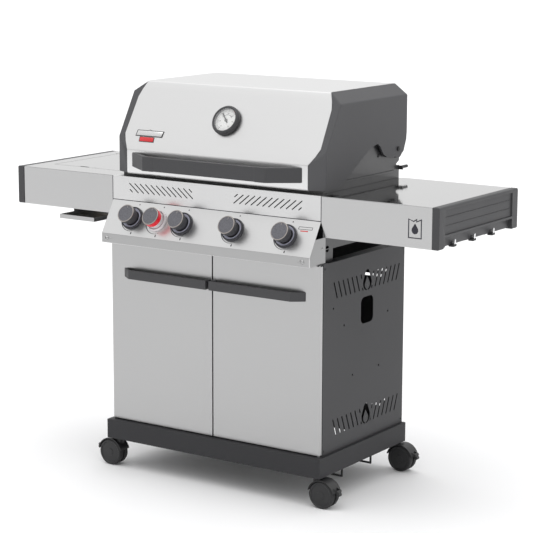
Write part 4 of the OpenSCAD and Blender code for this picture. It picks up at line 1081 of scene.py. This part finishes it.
# ------------------------------------------------------------------ casters
class BARBECUE_OT_casters(BuildStep):
    """Makes the twin-wheel casters with their hoods and brake pedals"""
    bl_idname = "barbecue.casters"
    bl_label = "Casters"

    def build(self, colours, sizes, stage):
        nylon = black()
        tread = moulded("tread_rubber", (0.016, 0.016, 0.017), 0.6, 500, 0.25)
        for corner in ("fl", "fr", "rl", "rr"):
            hood = Shape()
            hood.frame_outer(f"caster_hood_{corner}", 0.9, 2)
            hood.piece(f"caster_fork_{corner}", f"caster_{corner}", "black_plastic", nylon,
                       [f"caster_hood_{corner}"])
            low, high = box_mm(f"caster_wheels_{corner}")
            middle = (low + high) / 2
            wheels = Shape()
            for side in (-1, 1):
                wheels.at = on_plane(middle.x, middle.y, middle.z, (0, 0, 1), (0, side, 0))
                wheels.lathe([(0, 4.5), (36.5, 4.5), (37.8, 5.6), (38, 7), (38, 8.6), (37.5, 9),
                              (37.5, 9.6), (38, 10), (38, 15), (37.4, 17.4), (36, 18.9), (34, 19.5),
                              (31.5, 19.4), (30.6, 18.6), (30, 17.6), (24, 17.9), (14, 18.3),
                              (11.5, 18.4), (11, 19.3), (9.5, 19.5), (0, 19.5)], 56,
                             [1] * 11 + [0] * 9)
            wheels.at = on_plane(middle.x, middle.y, middle.z, (0, 0, 1), (0, 1, 0))
            wheels.lathe([(0, -5), (3.9, -5), (3.9, 5), (0, 5)], 24)
            wheels.piece(f"caster_rollers_{corner}", f"wheels_{corner}", "tread", [nylon, tread],
                         [f"caster_wheels_{corner}"])
            dress(f"caster_pedal_{corner}", nylon)


# ------------------------------------------------------------------ stage
class BARBECUE_OT_stage(BuildStep):
    """Makes the pale floor, the soft light and the camera"""
    bl_idname = "barbecue.stage"
    bl_label = "Stage"

    def build(self, colours, sizes, stage):
        part = bmesh.new()
        rings = [[part.verts.new((r * math.cos(math.radians(a)), r * math.sin(math.radians(a)), 0))
                  for a in range(0, 360, 10)] for r in (3, 10, 40)]
        part.faces.new(rings[0])
        for a, b in zip(rings, rings[1:]):
            for i in range(36):
                part.faces.new((a[i], a[(i + 1) % 36], b[(i + 1) % 36], b[i]))
        mesh = bpy.data.meshes.new("floor")
        bmesh.ops.recalc_face_normals(part, faces=part.faces)
        part.to_mesh(mesh)
        part.free()

        def paper(f):
            rgb = tuple(stage.floor)
            return {"Base Color": f.blend(f.noise(5), scaled(rgb, 0.995), rgb),
                    "Roughness": 0.9, "Specular IOR Level": 0.1}
        mesh.materials.append(finish("pale_floor", paper))
        floor = bpy.data.objects.new("floor", mesh)
        bpy.context.scene.collection.objects.link(floor)

        world = bpy.data.worlds.new("studio")
        world.use_nodes = True
        bpy.context.scene.world = world
        world.node_tree.nodes.clear()
        f = Finish(world.node_tree)
        where = f.node("ShaderNodeTexCoord", output="Generated")
        x, y, z = (f.node("ShaderNodeSeparateXYZ", {}, {"Vector": where}, axis) for axis in "XYZ")
        level = f.ramp(z * 0.40 - x * 0.06 + y * 0.12 + 0.4,
                       [(0.0, 0.42), (0.25, 0.48), (0.4, 0.62), (0.6, 0.84), (0.8, 1.0)])
        seen = f.node("ShaderNodeLightPath", output="Is Camera Ray")
        light = f.blend(seen, level, (1.0, 1.0, 1.0))
        back = f.node("ShaderNodeBackground", {}, {"Color": light, "Strength": stage.dome})
        f.node("ShaderNodeOutputWorld", {}, {"Surface": back})

        lamp = bpy.data.lights.new("top", "SUN")
        lamp.angle = math.radians(60)
        lamp.energy = 0.8
        made = bpy.data.objects.new("top", lamp)
        made.rotation_euler = (math.radians(10), 0, 0)
        bpy.context.scene.collection.objects.link(made)

        camera = bpy.data.cameras.new("camera")
        camera.sensor_width = 36
        camera.lens = stage.lens
        camera.clip_end = 200
        made = bpy.data.objects.new("camera", camera)
        a, e = stage.azimuth, stage.elevation
        back = Vector((math.sin(a) * math.cos(e), -math.cos(a) * math.cos(e), math.sin(e)))
        target = Vector((-0.0791, 0.378 + FRONT, 0.5615))
        made.rotation_mode = "QUATERNION"
        made.location = target + back * stage.distance
        turn = (-back).to_track_quat("-Z", "Y")
        made.rotation_quaternion = turn @ Matrix.Rotation(stage.roll, 3, "Z").to_quaternion()
        bpy.context.scene.collection.objects.link(made)
        bpy.context.scene.camera = made
        bpy.context.scene.view_settings.view_transform = "Standard"


STEPS = (
    BARBECUE_OT_lid_sheet, BARBECUE_OT_lid_castings, BARBECUE_OT_lid_handle,
    BARBECUE_OT_thermometer, BARBECUE_OT_badge, BARBECUE_OT_panels, BARBECUE_OT_knobs,
    BARBECUE_OT_doors, BARBECUE_OT_cabinet, BARBECUE_OT_firebox, BARBECUE_OT_shelves,
    BARBECUE_OT_side_burner, BARBECUE_OT_casters, BARBECUE_OT_stage,
)


class BARBECUE_PT_panel(bpy.types.Panel):
    """Lists the barbecue's colours, sizes and building steps"""
    bl_idname = "BARBECUE_PT_panel"
    bl_label = "Barbecue"
    bl_space_type = "VIEW_3D"
    bl_region_type = "UI"
    bl_category = "Barbecue"

    def draw(self, context):
        for group in (context.scene.barbecue_colours, context.scene.barbecue_sizes,
                      context.scene.barbecue_stage):
            column = self.layout.column()
            for key in group.__annotations__:
                column.prop(group, key)
        for step in STEPS:
            self.layout.operator(step.bl_idname)


CLASSES = (BarbecueColours, BarbecueSizes, BarbecueStage, *STEPS, BARBECUE_PT_panel)


def register():
    for item in CLASSES:
        bpy.utils.register_class(item)
    bpy.types.Scene.barbecue_colours = bpy.props.PointerProperty(type=BarbecueColours)
    bpy.types.Scene.barbecue_sizes = bpy.props.PointerProperty(type=BarbecueSizes)
    bpy.types.Scene.barbecue_stage = bpy.props.PointerProperty(type=BarbecueStage)


def unregister():
    for name in ("barbecue_stage", "barbecue_sizes", "barbecue_colours"):
        delattr(bpy.types.Scene, name)
    for item in reversed(CLASSES):
        bpy.utils.unregister_class(item)


def main():
    """Registers the add-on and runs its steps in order."""
    register()
    for step in STEPS:
        group, name = step.bl_idname.split(".")
        if getattr(getattr(bpy.ops, group), name)() != {"FINISHED"}:
            raise RuntimeError(f"{step.bl_label} did not finish")


if __name__ == "__main__":
    main()
